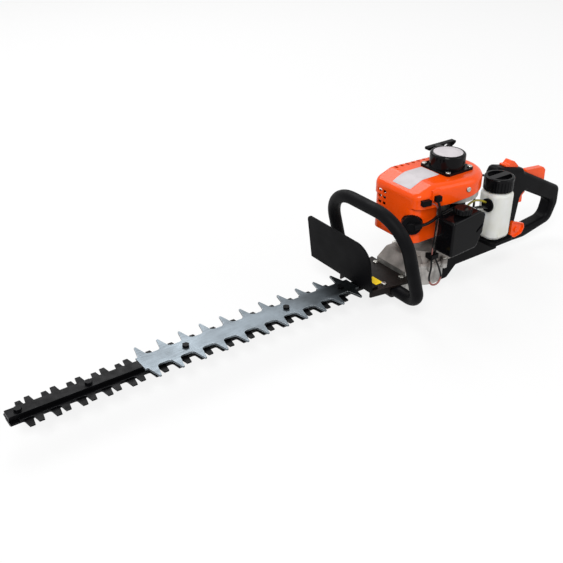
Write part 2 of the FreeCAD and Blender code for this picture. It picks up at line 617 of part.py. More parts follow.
class SketchedBody:
    """A PartDesign body built from sketches whose corners follow the sheet."""

    def __init__(self, label):
        self.body = doc.addObject("PartDesign::Body", label)
        keep(self.body, label)
        self.steps = 0

    def plane(self, role):
        for feature in self.body.Origin.OriginFeatures:
            if feature.Role == role:
                return feature
        raise ValueError("no origin plane " + role)

    def sketch(self, role, outlines, height="0"):
        """Closed outlines of (x, y) formulas on an origin plane, lifted along its normal."""
        self.steps += 1
        drawing = self.body.newObject("Sketcher::SketchObject",
                                      "%s_sketch%d" % (self.body.Name, self.steps))
        drawing.AttachmentSupport = [(self.plane(role), "")]
        drawing.MapMode = "FlatFace"
        bind(drawing, "AttachmentOffset.Base.z", height)
        for outline in outlines:
            self.outline(drawing, outline)
        doc.recompute()
        return drawing

    def outline(self, drawing, outline):
        corners = [Vector(number(x), number(y), 0) for x, y in outline]
        first = drawing.GeometryCount
        count = len(corners)
        for index in range(count):
            line = Part.LineSegment(corners[index], corners[(index + 1) % count])
            drawing.addGeometry(line, False)
        for index in range(count):
            following = first + (index + 1) % count
            drawing.addConstraint(Sketcher.Constraint("Coincident", first + index, 2, following, 1))
        for index, (x, y) in enumerate(outline):
            for kind, text, value in (("DistanceX", x, corners[index].x),
                                      ("DistanceY", y, corners[index].y)):
                place = drawing.addConstraint(Sketcher.Constraint(kind, -1, 1, first + index, 1, value))
                drawing.setExpression("Constraints[%d]" % place, formula(text))

    def circles(self, role, rounds, height="0"):
        """Circles of (x, y, radius) formulas on an origin plane."""
        self.steps += 1
        drawing = self.body.newObject("Sketcher::SketchObject",
                                      "%s_sketch%d" % (self.body.Name, self.steps))
        drawing.AttachmentSupport = [(self.plane(role), "")]
        drawing.MapMode = "FlatFace"
        bind(drawing, "AttachmentOffset.Base.z", height)
        for x, y, radius in rounds:
            centre = Vector(number(x), number(y), 0)
            place = drawing.addGeometry(Part.Circle(centre, Vector(0, 0, 1), number(radius)), False)
            for kind, text, value in (("DistanceX", x, centre.x), ("DistanceY", y, centre.y)):
                rule = drawing.addConstraint(Sketcher.Constraint(kind, -1, 1, place, 3, value))
                drawing.setExpression("Constraints[%d]" % rule, formula(text))
            rule = drawing.addConstraint(Sketcher.Constraint("Radius", place, number(radius)))
            drawing.setExpression("Constraints[%d]" % rule, formula(radius))
        doc.recompute()
        return drawing

    def slots(self, role, oblongs, height="0"):
        """Oblong outlines from (first end, last end, half width) formulas along the X axis."""
        self.steps += 1
        drawing = self.body.newObject("Sketcher::SketchObject",
                                      "%s_sketch%d" % (self.body.Name, self.steps))
        drawing.AttachmentSupport = [(self.plane(role), "")]
        drawing.MapMode = "FlatFace"
        bind(drawing, "AttachmentOffset.Base.z", height)
        for front, rear, half in oblongs:
            radius = number(half)
            ends = []
            for text, side in (("%s + %s" % (front, half), 1), ("%s - (%s)" % (rear, half), -1)):
                centre = Vector(number(text), 0, 0)
                low = math.pi / 2 if side > 0 else -math.pi / 2
                circle = Part.Circle(centre, Vector(0, 0, 1), radius)
                arc = drawing.addGeometry(Part.ArcOfCircle(circle, low, low + math.pi), False)
                rule = drawing.addConstraint(Sketcher.Constraint("DistanceX", -1, 1, arc, 3, centre.x))
                drawing.setExpression("Constraints[%d]" % rule, formula(text))
                drawing.addConstraint(Sketcher.Constraint("PointOnObject", arc, 3, -1))
                rule = drawing.addConstraint(Sketcher.Constraint("Radius", arc, radius))
                drawing.setExpression("Constraints[%d]" % rule, formula(half))
                ends.append((arc, centre))
            (first, at_front), (last, at_rear) = ends
            lift = Vector(0, radius, 0)
            top = drawing.addGeometry(Part.LineSegment(at_front + lift, at_rear + lift), False)
            low = drawing.addGeometry(Part.LineSegment(at_front - lift, at_rear - lift), False)
            drawing.addConstraint(Sketcher.Constraint("Tangent", first, 1, top, 1))
            drawing.addConstraint(Sketcher.Constraint("Tangent", top, 2, last, 2))
            drawing.addConstraint(Sketcher.Constraint("Tangent", first, 2, low, 1))
            drawing.addConstraint(Sketcher.Constraint("Tangent", low, 2, last, 1))
        doc.recompute()
        return drawing

    def add(self, kind, profile):
        self.steps += 1
        step = self.body.newObject("PartDesign::" + kind,
                                   "%s_%s%d" % (self.body.Name, kind.lower(), self.steps))
        step.Profile = profile
        return step

    def pad(self, profile, length, both=False, taper=0.0):
        step = self.add("Pad", profile)
        bind(step, "Length", length)
        if both:
            step.Midplane = True
        if taper:
            step.TaperAngle = taper
        doc.recompute()
        return step

    def pocket(self, profile, length, both=False):
        """Cuts along the sketch's normal, and must take material away."""
        before = self.body.Shape.Volume
        step = self.add("Pocket", profile)
        step.Reversed = True
        bind(step, "Length", length)
        if both:
            step.Midplane = True
        doc.recompute()
        if not self.body.Shape.Volume < before:
            raise ValueError(self.body.Label + ": a pocket took nothing away")
        return step

    def repeat(self, originals, drawing, pitch, count):
        self.steps += 1
        step = self.body.newObject("PartDesign::LinearPattern", "%s_row%d" % (self.body.Name, self.steps))
        step.Originals = originals
        step.Direction = (drawing, ["H_Axis"])
        bind(step, "Length", "(%s) * (%s - 1)" % (pitch, count))
        bind(step, "Occurrences", count)
        self.body.Tip = step
        doc.recompute()
        return step

    def round(self, radius, test):
        shape = self.body.Tip.Shape
        names = ["Edge%d" % (index + 1) for index, edge in enumerate(shape.Edges) if test(edge)]
        if not names:
            raise ValueError(self.body.Label + ": no edge to round")
        self.steps += 1
        step = self.body.newObject("PartDesign::Fillet", "%s_fillet%d" % (self.body.Name, self.steps))
        step.Base = (self.body.Tip if self.body.Tip != step else step.BaseFeature, names)
        bind(step, "Radius", radius)
        doc.recompute()
        return step


def rectangle(x0, x1, y0, y1):
    return [(x0, y0), (x1, y0), (x1, y1), (x0, y1)]


def lies_at(edge, half):
    """The edge's middle is that far from the centre plane, on either side."""
    return abs(abs(middle_of(edge).y) - half) < 0.01


def upright(edge):
    """An edge that runs along Z."""
    ends = [vertex.Point for vertex in edge.Vertexes]
    return len(ends) == 2 and math.hypot(ends[0].x - ends[1].x, ends[0].y - ends[1].y) < 1e-6


# ---------------------------------------------------------------- heights of the blade pack

bar_low = "(deck_z - guard_thick - bar_thick)"
upper_top = "(%s - blade_gap)" % bar_low
upper_low = "(%s - blade_thick)" % upper_top
lower_top = "(%s - blade_gap)" % upper_low
lower_low = "(%s - blade_thick)" % lower_top
lower_bar_top = "(%s - blade_gap)" % lower_low
lower_bar_low = "(%s - lower_bar_thick)" % lower_bar_top
forward_travel = "(blade_offset / 2)"
back_travel = "(stroke - blade_offset / 2)"
pin_sweep = "(stroke / 2 + pin_radius)"
guard_front = "(guard_first_x - guard_root / 2 - guard_lead)"
bolt_places = ["tip_bolt_x", "front_bolt_x", "middle_bolt_x", "back_bolt_x", "rear_bolt_x"]


def tooth_pair(x, root, tip, inner, outer):
    """Two tapered teeth, one each side, that reach from the bar's edge."""
    half_root = "(%s) / 2" % root
    half_tip = "(%s) / 2" % tip
    pair = []
    for sign in ("", "-"):
        pair.append([
            ("%s - %s" % (x, half_root), "%s(%s)" % (sign, inner)),
            ("%s + %s" % (x, half_root), "%s(%s)" % (sign, inner)),
            ("%s + %s" % (x, half_tip), "%s(%s)" % (sign, outer)),
            ("%s - %s" % (x, half_tip), "%s(%s)" % (sign, outer)),
        ])
    return pair


def bolt_holes(body, low, depth, places=bolt_places):
    holes = body.circles("XY_Plane", [(x, "0", "bolt_radius + run_gap") for x in places], low)
    body.pocket(holes, depth)


def make_tooth_guard():
    """Fixed comb of tapered teeth whose roots flare into a flat bar, pressed from one plate."""
    body = SketchedBody("tooth_guard")
    low = "deck_z - guard_thick"
    bar = body.sketch("XY_Plane", [rectangle(guard_front, "guard_rear_x", "-guard_half", "guard_half")],
                      low)
    body.pad(bar, "guard_thick")
    inner = "guard_half - guard_flare"
    teeth = body.sketch("XY_Plane",
                        tooth_pair("guard_first_x", "guard_root", "guard_tip", inner, "guard_reach"), low)
    tooth = body.pad(teeth, "guard_thick")
    body.repeat([tooth], teeth, "tooth_pitch", "guard_teeth")
    last = d.guard_first_x + d.tooth_pitch * (d.guard_teeth - 1)
    body.round("guard_flare", lambda edge: upright(edge) and lies_at(edge, d.guard_half)
               and d.guard_first_x < middle_of(edge).x < last)
    bolt_holes(body, low, "guard_thick", bolt_places[2:])


def make_support_bar():
    """Upper guide bar, thicker ahead of the tooth guard."""
    body = SketchedBody("support_bar")
    bar = body.sketch("XY_Plane", [rectangle("bar_tip_x", "bar_rear_x", "-bar_half", "bar_half")],
                      bar_low)
    body.pad(bar, "bar_thick")
    stop = guard_front + " - fit_gap"
    raised = body.sketch("XY_Plane", [rectangle("bar_tip_x", stop, "-bar_half", "bar_half")], bar_low)
    body.pad(raised, "bar_thick + guard_thick")
    bolt_holes(body, bar_low, "bar_thick + guard_thick")


def make_lower_bar():
    body = SketchedBody("lower_bar")
    bar = body.sketch("XY_Plane", [rectangle("bar_tip_x", "bar_rear_x", "-bar_half", "bar_half")],
                      lower_bar_low)
    body.pad(bar, "lower_bar_thick")
    bolt_holes(body, lower_bar_low, "lower_bar_thick")


def make_blade(label, low, shift, ahead, behind, tail_end):
    """Moving blade: teeth both sides, a slot round each bolt and a narrow tail."""
    body = SketchedBody(label)
    tip = "blade_first_x - blade_nose + %s" % shift
    neck = "blade_neck_x + %s" % shift
    outline = [
        (tip, "-blade_half"),
        (neck, "-blade_half"),
        (neck + " + blade_half - blade_tail_half", "-blade_tail_half"),
        (tail_end, "-blade_tail_half"),
        (tail_end, "blade_tail_half"),
        (neck + " + blade_half - blade_tail_half", "blade_tail_half"),
        (neck, "blade_half"),
        (tip, "blade_half"),
    ]
    web = body.sketch("XY_Plane", [outline], low)
    body.pad(web, "blade_thick")
    first = "blade_first_x + %s" % shift
    inner = "blade_half - blade_flare"
    teeth = body.sketch("XY_Plane", tooth_pair(first, "blade_root", "blade_tip", inner, "blade_reach"),
                        low)
    tooth = body.pad(teeth, "blade_thick")
    body.repeat([tooth], teeth, "tooth_pitch", "blade_teeth")
    front = number(first) - d.blade_root
    rear = number(first) + d.tooth_pitch * (d.blade_teeth - 1) + d.blade_root
    body.round("blade_flare", lambda edge: upright(edge) and lies_at(edge, d.blade_half)
               and front < middle_of(edge).x < rear)
    slots = []
    for x in bolt_places:
        slots.append((
            "%s - bolt_radius - fit_gap - %s" % (x, ahead),
            "%s + bolt_radius + fit_gap + %s" % (x, behind),
            "bolt_radius + fit_gap",
        ))
    body.pocket(body.slots("XY_Plane", slots, low), "blade_thick")


def make_yoke(label, low, front, window_front, window_rear):
    """Plate with an oblong window that a crank pin pushes to and fro."""
    body = SketchedBody(label)
    half = "(%s + fit_gap)" % pin_sweep
    outer_front = "(%s - yoke_rim)" % window_front
    outer_rear = "(%s + yoke_rim)" % window_rear
    outer_half = "(%s + yoke_rim)" % half
    frame = body.sketch("XY_Plane", [rectangle(outer_front, outer_rear, "-" + outer_half, outer_half)],
                        low)
    body.pad(frame, "yoke_thick")
    body.round("yoke_round", upright)
    tongue_rear = "%s + yoke_rim / 2" % outer_front
    tongue = body.sketch("XY_Plane",
                         [rectangle(front, tongue_rear, "-blade_tail_half", "blade_tail_half")], low)
    body.pad(tongue, "yoke_thick")
    window = body.sketch("XY_Plane", [rectangle(window_front, window_rear, "-" + half, half)], low)
    body.pocket(window, "yoke_thick")


def make_blades():
    """Two blades half a stroke apart, each with the yoke that its crank pin drives."""
    reach = "(%s + %s + fit_gap)"
    ahead = reach % (pin_sweep, forward_travel)
    behind = reach % (pin_sweep, back_travel)
    make_blade("upper_blade", upper_low, forward_travel, back_travel, forward_travel,
               "(gear_x - %s - yoke_rim / 2)" % behind)
    make_blade("lower_blade", lower_low, "-" + forward_travel, forward_travel, back_travel,
               "(gear_x - %s - yoke_rim / 2)" % ahead)
    make_yoke("upper_yoke", upper_top, "(bar_rear_x + %s + bar_gap)" % forward_travel,
              "(gear_x - %s)" % behind, "(gear_x + %s)" % ahead)
    make_yoke("lower_yoke", "(%s - yoke_thick)" % lower_low, "(bar_rear_x + %s + bar_gap)" % back_travel,
              "(gear_x - %s)" % ahead, "(gear_x + %s)" % behind)


def make_blade_bolts():
    """Bolts that clamp the bars, with a nut below each."""
    low = number(lower_bar_low)
    bolts = []
    nuts = []
    for name in bolt_places:
        x = number(name)
        bolts.append(bolt(Vector(x, 0, d.deck_z), d.deck_z - low + d.bolt_head_height))
        seat = Vector(x, 0, low - d.bolt_head_height)
        nut = Part.Face(Part.makePolygon(hexagon(seat, d.bolt_head))).extrude(Vector(0, 0,
                                                                                     d.bolt_head_height))
        nuts.append(nut.cut(Part.makeCylinder(d.bolt_radius + d.run_gap, d.bolt_head_height, seat)))
    shaped("blade_bolts", Part.makeCompound(bolts))
    shaped("blade_nuts", Part.makeCompound(nuts))


def crankcase_round(radius=None):
    """The crankcase's round form, which its neighbours are cut back to."""
    return Part.makeCylinder(radius or d.crankcase_radius, d.crankcase_top_z - d.case_top_z,
                             Vector(0, 0, d.case_top_z))


def plug_point(distance):
    """A place on the spark plug's axis, measured from inside the cylinder head."""
    return Vector(d.plug_x, d.plug_y, d.cylinder_z + d.plug_rise) + PLUG_AXIS * distance


def plug_rod(radius, start, end):
    return Part.makeCylinder(radius, end - start, plug_point(start), PLUG_AXIS)


# the spark plug points ahead and to the left: degrees from straight ahead
PLUG_TURN = 44
PLUG_AXIS = Vector(-math.cos(math.radians(PLUG_TURN)), -math.sin(math.radians(PLUG_TURN)), 0)


# ---------------------------------------------------------------- bracket, hand guard, loop handle

def bracket_side(x):
    """Half width of the bracket at a place along it, as a formula."""
    return ("(bracket_front_half + (bracket_rear_half - bracket_front_half)"
            " * (%s - bracket_front_x) / (bracket_rear_x - bracket_front_x))" % x)


def make_bracket():
    """Trapezoid plate with folded sides that stop short of the loop handle."""
    body = SketchedBody("bracket_plate")
    low = "(deck_z - bracket_thick)"
    plate = [
        ("bracket_front_x", "-bracket_front_half"),
        ("bracket_rear_x", "-bracket_rear_half"),
        ("bracket_rear_x", "bracket_rear_half"),
        ("bracket_front_x", "bracket_front_half"),
    ]
    body.pad(body.sketch("XY_Plane", [plate], low), "bracket_thick")
    stop = "(loop_foot_x - loop_radius - lip_gap)"
    lips = []
    for sign in ("", "-"):
        lips.append([
            ("bracket_front_x", "%s(bracket_front_half - bracket_thick)" % sign),
            (stop, "%s(%s - bracket_thick)" % (sign, bracket_side(stop))),
            (stop, "%s%s" % (sign, bracket_side(stop))),
            ("bracket_front_x", "%sbracket_front_half" % sign),
        ])
    body.pad(body.sketch("XY_Plane", lips, low + " - bracket_lip"), "bracket_lip + bracket_thick")
    holes = [(str(x), str(y), "screw_radius + run_gap") for x,
             y in clamp_screw_places() + shield_screw_places()]
    body.pocket(body.circles("XY_Plane", holes, low), "bracket_thick")


def make_hand_guard():
    """Upright plate that leans forward, on a folded foot."""
    height = d.shield_height
    foot = Vector(d.shield_foot_x, 0, d.deck_z)
    top = foot + Vector(-d.shield_lean * height, 0, height)
    left = Vector(0, -d.shield_left, 0)
    right = Vector(0, d.shield_right, 0)
    outline = [(foot + left, 0), (foot + right, 0), (top + right, d.shield_round),
               (top + left, d.shield_corner)]
    plate = prism(outline, Vector(d.shield_thick, 0, 0))
    base_left = d.bracket_front_half - d.bracket_thick
    base = Part.makeBox(d.shield_flange, 2 * base_left, d.shield_thick, foot + Vector(0, -base_left, 0))
    holes = [Part.makeCylinder(d.screw_radius + d.run_gap, d.shield_thick, Vector(x, y, d.deck_z))
             for x, y in shield_screw_places()]
    shaped("hand_guard", plate.fuse(base).cut(holes).removeSplitter())


def shield_screw_places():
    """Two screws behind the bend of the hand guard's foot."""
    x = d.shield_foot_x + (d.shield_thick + d.shield_flange) / 2
    return [(x, -d.shield_screw_y), (x, d.shield_screw_y)]


def loop_point(y, height):
    return Vector(d.loop_foot_x - d.loop_lean * height, y,
                  number("deck_z - bracket_thick - loop_radius") + height)


def make_loop_handle():
    """Bent tube round the front of the machine, open at the foot."""
    route = [
        (loop_point(-d.loop_end, 0), 0),
        (loop_point(-d.loop_half_foot, 0), d.loop_corner),
        (loop_point(-d.loop_half_top, d.loop_height), d.loop_crown),
        (loop_point(d.loop_half_top, d.loop_height), d.loop_crown),
        (loop_point(d.loop_half_foot, 0), d.loop_corner),
        (loop_point(d.loop_end, 0), 0),
    ]
    shaped("loop_handle", tube_along(route, d.loop_radius, d.loop_bore))


def clamp_screw_places():
    reach = d.loop_radius + d.clamp_wall + d.screw_head
    return [(d.loop_foot_x + side * reach, sign * d.clamp_y) for sign in (-1, 1) for side in (-1, 1)]


def make_loop_clamps():
    """Saddles that hold the loop's tube up against the bracket."""
    clamps = []
    top = number("deck_z - bracket_thick")
    hoop_radius = d.loop_radius + d.clamp_wall
    ear = hoop_radius + 2 * d.screw_head
    for sign in (-1, 1):
        y = sign * d.clamp_y - d.clamp_width / 2
        centre = Vector(d.loop_foot_x, y, top - d.loop_radius)
        hoop = Part.makeCylinder(hoop_radius, d.clamp_width, centre, Vector(0, 1, 0))
        sides = Part.makeBox(2 * hoop_radius, d.clamp_width, d.loop_radius,
                             centre - Vector(hoop_radius, 0, 0))
        ears = Part.makeBox(2 * ear, d.clamp_width, d.clamp_wall,
                            Vector(d.loop_foot_x - ear, y, top - d.clamp_wall))
        below = Part.makeBox(2 * ear, d.clamp_width, 2 * hoop_radius,
                             Vector(d.loop_foot_x - ear, y, top - 2 * hoop_radius))
        seat = Part.makeCylinder(d.loop_radius + d.run_gap, d.clamp_width, centre, Vector(0, 1, 0))
        clamps.append(hoop.fuse([sides, ears]).common(below).cut(seat).removeSplitter())
    holes = [Part.makeCylinder(d.screw_radius + d.run_gap, d.clamp_wall, Vector(x, y, top - d.clamp_wall))
             for x, y in clamp_screw_places()]
    shaped("loop_clamps", Part.makeCompound([clamp.cut(holes) for clamp in clamps]))


def make_bracket_screws():
    """Screws from above through the bracket into the clamps and the guard's foot."""
    up = Vector(0, 0, 1)
    screws = []
    for x, y in clamp_screw_places():
        screws.append(pan_screw(Vector(x, y, d.deck_z), up, d.bracket_thick + d.clamp_wall))
    for x, y in shield_screw_places():
        screws.append(pan_screw(Vector(x, y, d.deck_z + d.shield_thick), up,
                                d.shield_thick + d.bracket_thick))
    shaped("bracket_screws", Part.makeCompound(screws))


def lug_places():
    """Formulas for the gear case's screws: two beside the nose and two on the straight sides."""
    reach = "(case_radius + lug_radius - lug_sink)"
    ahead = "gear_x - %s * sin(lug_turn)" % reach
    across = "%s * cos(lug_turn)" % reach
    beside = "gear_x + lug_along"
    return [(ahead, across), (ahead, "-" + across), (beside, reach), (beside, "-" + reach)]


def lug_rods(name, radius, low, high):
    """One upright rod at each screw place of the gear case."""
    rods = []
    for index, (x, y) in enumerate(lug_places()):
        rods.append(rod("%s%d" % (name, index), radius, "(%s) - (%s)" % (high, low), (x, y, low)))
    return rods


# ---------------------------------------------------------------- gear case and drive

drum_low = "(case_split_z + case_wall - 1 + gear_thick + 1)"
case_cavity = "(case_radius - case_wall)"


def make_gear_case_lower():
    """Pan under the drive gear, with a nose that grips the guide bars."""
    depth = "case_split_z - case_floor_z"
    pan = rod("pan_round", "case_radius", depth, ("gear_x", "0", "case_floor_z"))
    rim = rod("pan_rim", "case_radius + rim_reach", "rim_thick",
              ("gear_x", "0", "case_split_z - rim_thick"))
    nose = block("pan_nose", ("gear_x - bracket_rear_x", "2 * nose_half", depth),
                 ("bracket_rear_x", "-nose_half", "case_floor_z"))
    lip = block("pan_lip", ("gear_x - nose_front_x", "2 * nose_half", "case_split_z - deck_z"),
                ("nose_front_x", "-nose_half", "deck_z"))
    lugs = lug_rods("pan_lug", "lug_radius", "case_split_z - lug_depth", "case_split_z")
    cavity = rod("pan_cavity", case_cavity, depth, ("gear_x", "0", "case_floor_z + case_wall"))
    channel = block("pan_channel", ("gear_x - bracket_rear_x", "2 * (blade_tail_half + fit_gap)",
                                    "deck_z - guard_thick - %s" % lower_bar_low),
                    ("bracket_rear_x", "-(blade_tail_half + fit_gap)", lower_bar_low))
    bore = rod("pan_bore", "shaft_radius + run_gap", "case_wall - bore_floor",
               ("gear_x", "0", "case_floor_z + bore_floor"))
    taps = lug_rods("pan_tap", "screw_radius", "case_split_z - lug_depth", "case_split_z")
    solid = fuse("pan_solid", [pan, rim, nose, lip] + lugs)
    keep(cut("gear_case_lower", solid, [cavity, channel, bore] + taps), "gear_case_lower")


def make_gear_case_upper():
    """Housing over the gear and the clutch, with a sloped nose."""
    depth = "(case_top_z - case_split_z)"
    round_gear = rod("case_round", "case_radius", depth, ("gear_x", "0", "case_split_z"))
    round_clutch = rod("case_clutch", "case_radius", depth, ("0", "0", "case_split_z"))
    middle = block("case_middle", ("-gear_x", "2 * case_radius", depth),
                   ("gear_x", "-case_radius", "case_split_z"))
    rim = rod("case_rim", "case_radius + rim_reach", "rim_thick", ("gear_x", "0", "case_split_z"))
    step = rod("case_step", "case_radius + rim_reach", "rim_thick", ("0", "0", "case_top_z - rim_thick"))
    lugs = lug_rods("case_lug", "lug_radius", "case_split_z", "case_split_z + lug_height")
    nose = doc.addObject("Part::Wedge", "case_nose")
    sides = {
        "Xmin": "0", "Xmax": "gear_x - nose_front_x", "Ymin": "0", "Ymax": "nose_top_z - case_split_z",
        "Zmin": "0", "Zmax": "2 * nose_half", "X2min": "nose_slope", "X2max": "gear_x - nose_front_x",
        "Z2min": "nose_taper", "Z2max": "2 * nose_half - nose_taper",
    }
    for prop, text in sides.items():
        bind(nose, prop, text)
    nose.Placement = Placement(Vector(), Rotation(Vector(1, 0, 0), 90))
    bind_place(nose, ("nose_front_x", "nose_half", "case_split_z"))
    gear_room = rod("gear_room", case_cavity, "gear_lift + gear_thick + gear_gap",
                    ("gear_x", "0", "case_split_z"))
    drum_room = rod("drum_room", "drum_radius + drum_gap", "case_top_z - case_split_z - gear_lift",
                    ("0", "0", "case_split_z + gear_lift"))
    drum_bore = rod("drum_bore", "crank_radius + run_gap", depth, ("0", "0", "case_split_z"))
    gear_bore = rod("gear_bore", "shaft_radius + run_gap", "case_top_z - case_wall - case_split_z",
                    ("gear_x", "0", "case_split_z"))
    taps = lug_rods("case_tap", "screw_radius + run_gap", "case_split_z", "case_split_z + lug_height")
    solid = fuse("case_solid", [round_gear, round_clutch, middle, rim, step, nose] + lugs)
    keep(cut("gear_case_upper", solid, [gear_room, drum_room, drum_bore, gear_bore] + taps),
         "gear_case_upper")


def gear_outline(teeth, module, start):
    """Straight-flanked gear outline round the origin; start is one tooth's angle."""
    pitch = module * teeth / 2
    tip = pitch + d.gear_addendum * module
    root = pitch - d.gear_dedendum * module
    half = d.gear_tooth_share * math.pi * module
    flank = math.tan(math.radians(d.gear_flank))
    corners = []
    for tooth in range(teeth):
        middle = start + 2 * math.pi * tooth / teeth
        for radius, side in ((root, -1), (tip, -1), (tip, 1), (root, 1)):
            width = half + (pitch - radius) * flank
            angle = middle + side * width / radius
            corners.append(Vector(radius * math.cos(angle), radius * math.sin(angle), 0))
    corners.append(corners[0])
    return Part.Face(Part.makePolygon(corners))


def gear_low():
    """Underside of the drive gear."""
    return d.case_split_z + d.gear_lift


def make_drive_gear():
    """Gear with its shaft and two crank pins set opposite each other."""
    axis = Vector(d.gear_x, 0, 0)
    gear = gear_outline(int(d.gear_teeth), d.gear_module, 0.0).extrude(Vector(0, 0, d.gear_thick))
    gear.translate(axis + Vector(0, 0, gear_low()))
    throw = d.stroke / 2
    back = (d.stroke - d.blade_offset) / 2
    side = math.sqrt(throw ** 2 - back ** 2)
    disc = throw + d.pin_radius + d.fit_gap
    yoke_top = number(upper_top) + d.yoke_thick + d.disc_gap
    web_low = number(lower_low) + d.disc_gap
    web_high = number(upper_top) - d.disc_gap
    yoke_low = number(lower_low) - d.yoke_thick - d.disc_gap
    shaft_low = d.case_floor_z + d.bore_floor + d.fit_gap
    shaft_high = d.case_top_z - d.case_wall - d.fit_gap

    def upright_rod(radius, low, high, x=0.0, y=0.0):
        return Part.makeCylinder(radius, high - low, axis + Vector(x, y, low))

    pieces = [
        upright_rod(disc, yoke_top, gear_low()),
        upright_rod(disc, web_low, web_high),
        upright_rod(disc, yoke_low - d.disc_thick, yoke_low),
        upright_rod(d.pin_radius, web_low, gear_low(), -back, side),
        upright_rod(d.pin_radius, yoke_low, web_high, back, -side),
        upright_rod(d.shaft_radius, gear_low(), shaft_high),
        upright_rod(d.shaft_radius, shaft_low, yoke_low),
    ]
    shaped("drive_gear", gear.fuse(pieces).removeSplitter())


def make_clutch_drum():
    """Drum with the pinion on its underside, above the drive gear."""
    low = gear_low() + d.gear_thick + d.disc_gap
    pinion = gear_outline(int(d.pinion_teeth), d.gear_module, math.pi + math.pi / d.pinion_teeth)
    pinion = pinion.extrude(Vector(0, 0, low - gear_low()))
    pinion.translate(Vector(0, 0, gear_low()))
    stub_low = d.case_split_z + d.fit_gap
    stub = Part.makeCylinder(d.crank_radius, low - stub_low, Vector(0, 0, stub_low))
    drum = Part.makeCylinder(d.drum_radius, d.drum_height, Vector(0, 0, low))
    room = Part.makeCylinder(d.drum_radius - d.drum_wall, d.drum_height, Vector(0, 0, low + d.drum_wall))
    shaped("clutch_drum", drum.cut(room).fuse([pinion, stub]).removeSplitter())


def make_crankshaft():
    """Upright crankshaft from the clutch to the flywheel, and the two clutch shoes."""
    low = gear_low() + d.gear_thick + d.disc_gap + d.drum_wall + d.drum_gap / 2
    shaft = Part.makeCylinder(d.crank_radius, d.fan_z + d.fan_disc - low, Vector(0, 0, low))
    hub = Part.makeCylinder(d.hub_radius, d.shoe_height, Vector(0, 0, low))
    shaped("crankshaft", shaft.fuse(hub).removeSplitter())
    shoe_radius = d.drum_radius - d.drum_wall - d.shoe_gap
    ring = Part.makeCylinder(shoe_radius, d.shoe_height, Vector(0, 0, low))
    ring = ring.cut(Part.makeCylinder(d.hub_radius, d.shoe_height, Vector(0, 0, low)))
    split = Part.makeBox(2 * d.shoe_split, 2 * shoe_radius, d.shoe_height,
                         Vector(-d.shoe_split, -shoe_radius, low))
    shaped("clutch_shoes", ring.cut(split))


# ---------------------------------------------------------------- engine

def make_engine():
    """Crankcase with its fan plate on the gear case, and the finned cylinder lying forwards."""
    case = crankcase_round()
    foot_half = d.crankcase_radius - d.fit_gap
    foot = Part.makeBox(2 * foot_half, 2 * foot_half, d.foot_height,
                        Vector(-foot_half, -foot_half, d.case_top_z))
    foot = foot.makeFillet(d.foot_round, edges_where(foot, upright))
    bore = Part.makeCylinder(d.crank_radius + d.run_gap, d.fan_z - d.case_top_z,
                             Vector(0, 0, d.case_top_z))
    room = Part.makeCylinder(d.drum_radius + d.drum_gap / 2, d.drum_room_height,
                             Vector(0, 0, d.case_top_z))
    plate_radius = d.cover_radius - d.cover_wall - d.fit_gap
    rim_height = d.rim_top_z - d.crankcase_top_z
    plate = Part.makeCylinder(plate_radius, rim_height, Vector(0, 0, d.crankcase_top_z))
    well = Part.makeCylinder(plate_radius - d.rim_wall, rim_height,
                             Vector(0, 0, d.crankcase_top_z + d.plate_thick))
    ahead = Part.makeBox(plate_radius, 2 * plate_radius, rim_height,
                         Vector(d.plate_front_x - plate_radius, -plate_radius, d.crankcase_top_z))
    plate = plate.cut([well, ahead])
    taps = [Part.makeCylinder(d.screw_radius + d.run_gap, 2 * d.rim_wall,
                              at - out * (2 * d.rim_wall + d.cover_wall), out)
            for at, out in cover_screw_places()]
    whole = case.fuse([foot, plate]).cut([bore, room] + taps)
    shaped("crankcase", whole.removeSplitter())
    make_cylinder()
    size = (d.muffler_length, d.muffler_depth, 2 * d.fin_rise)
    muffler = Part.makeBox(*size,
                           Vector(d.fin_first_x - d.muffler_lead, d.fin_half, d.cylinder_z - d.fin_rise))
    along = edges_where(muffler, lambda edge: edge.BoundBox.XLength > d.muffler_length / 2)
    shaped("muffler", muffler.makeFillet(d.muffler_round, along))


def make_cylinder():
    """Finned barrel and head, bored and spot-faced for the spark plug."""
    start = Vector(-math.sqrt(d.crankcase_radius ** 2 - d.barrel_radius ** 2), 0, d.cylinder_z)
    barrel = Part.makeCylinder(d.barrel_radius, start.x - d.fin_first_x + d.fin_thick, start,
                               Vector(-1, 0, 0))
    fins = []
    for index in range(int(d.fin_count)):
        x = d.fin_first_x + index * d.fin_pitch
        fins.append(Part.makeBox(d.fin_thick, 2 * d.fin_half, 2 * d.fin_rise,
                                 Vector(x, -d.fin_half, d.cylinder_z - d.fin_rise)))
    clear = d.plug_length + d.plug_hex
    bore = plug_rod(d.plug_radius + d.run_gap, 0, clear)
    face = plug_rod(d.plug_hex + d.plug_hex_gap, d.plug_seat, clear)
    shaped("cylinder", barrel.fuse(fins).cut([crankcase_round(), bore, face]).removeSplitter())


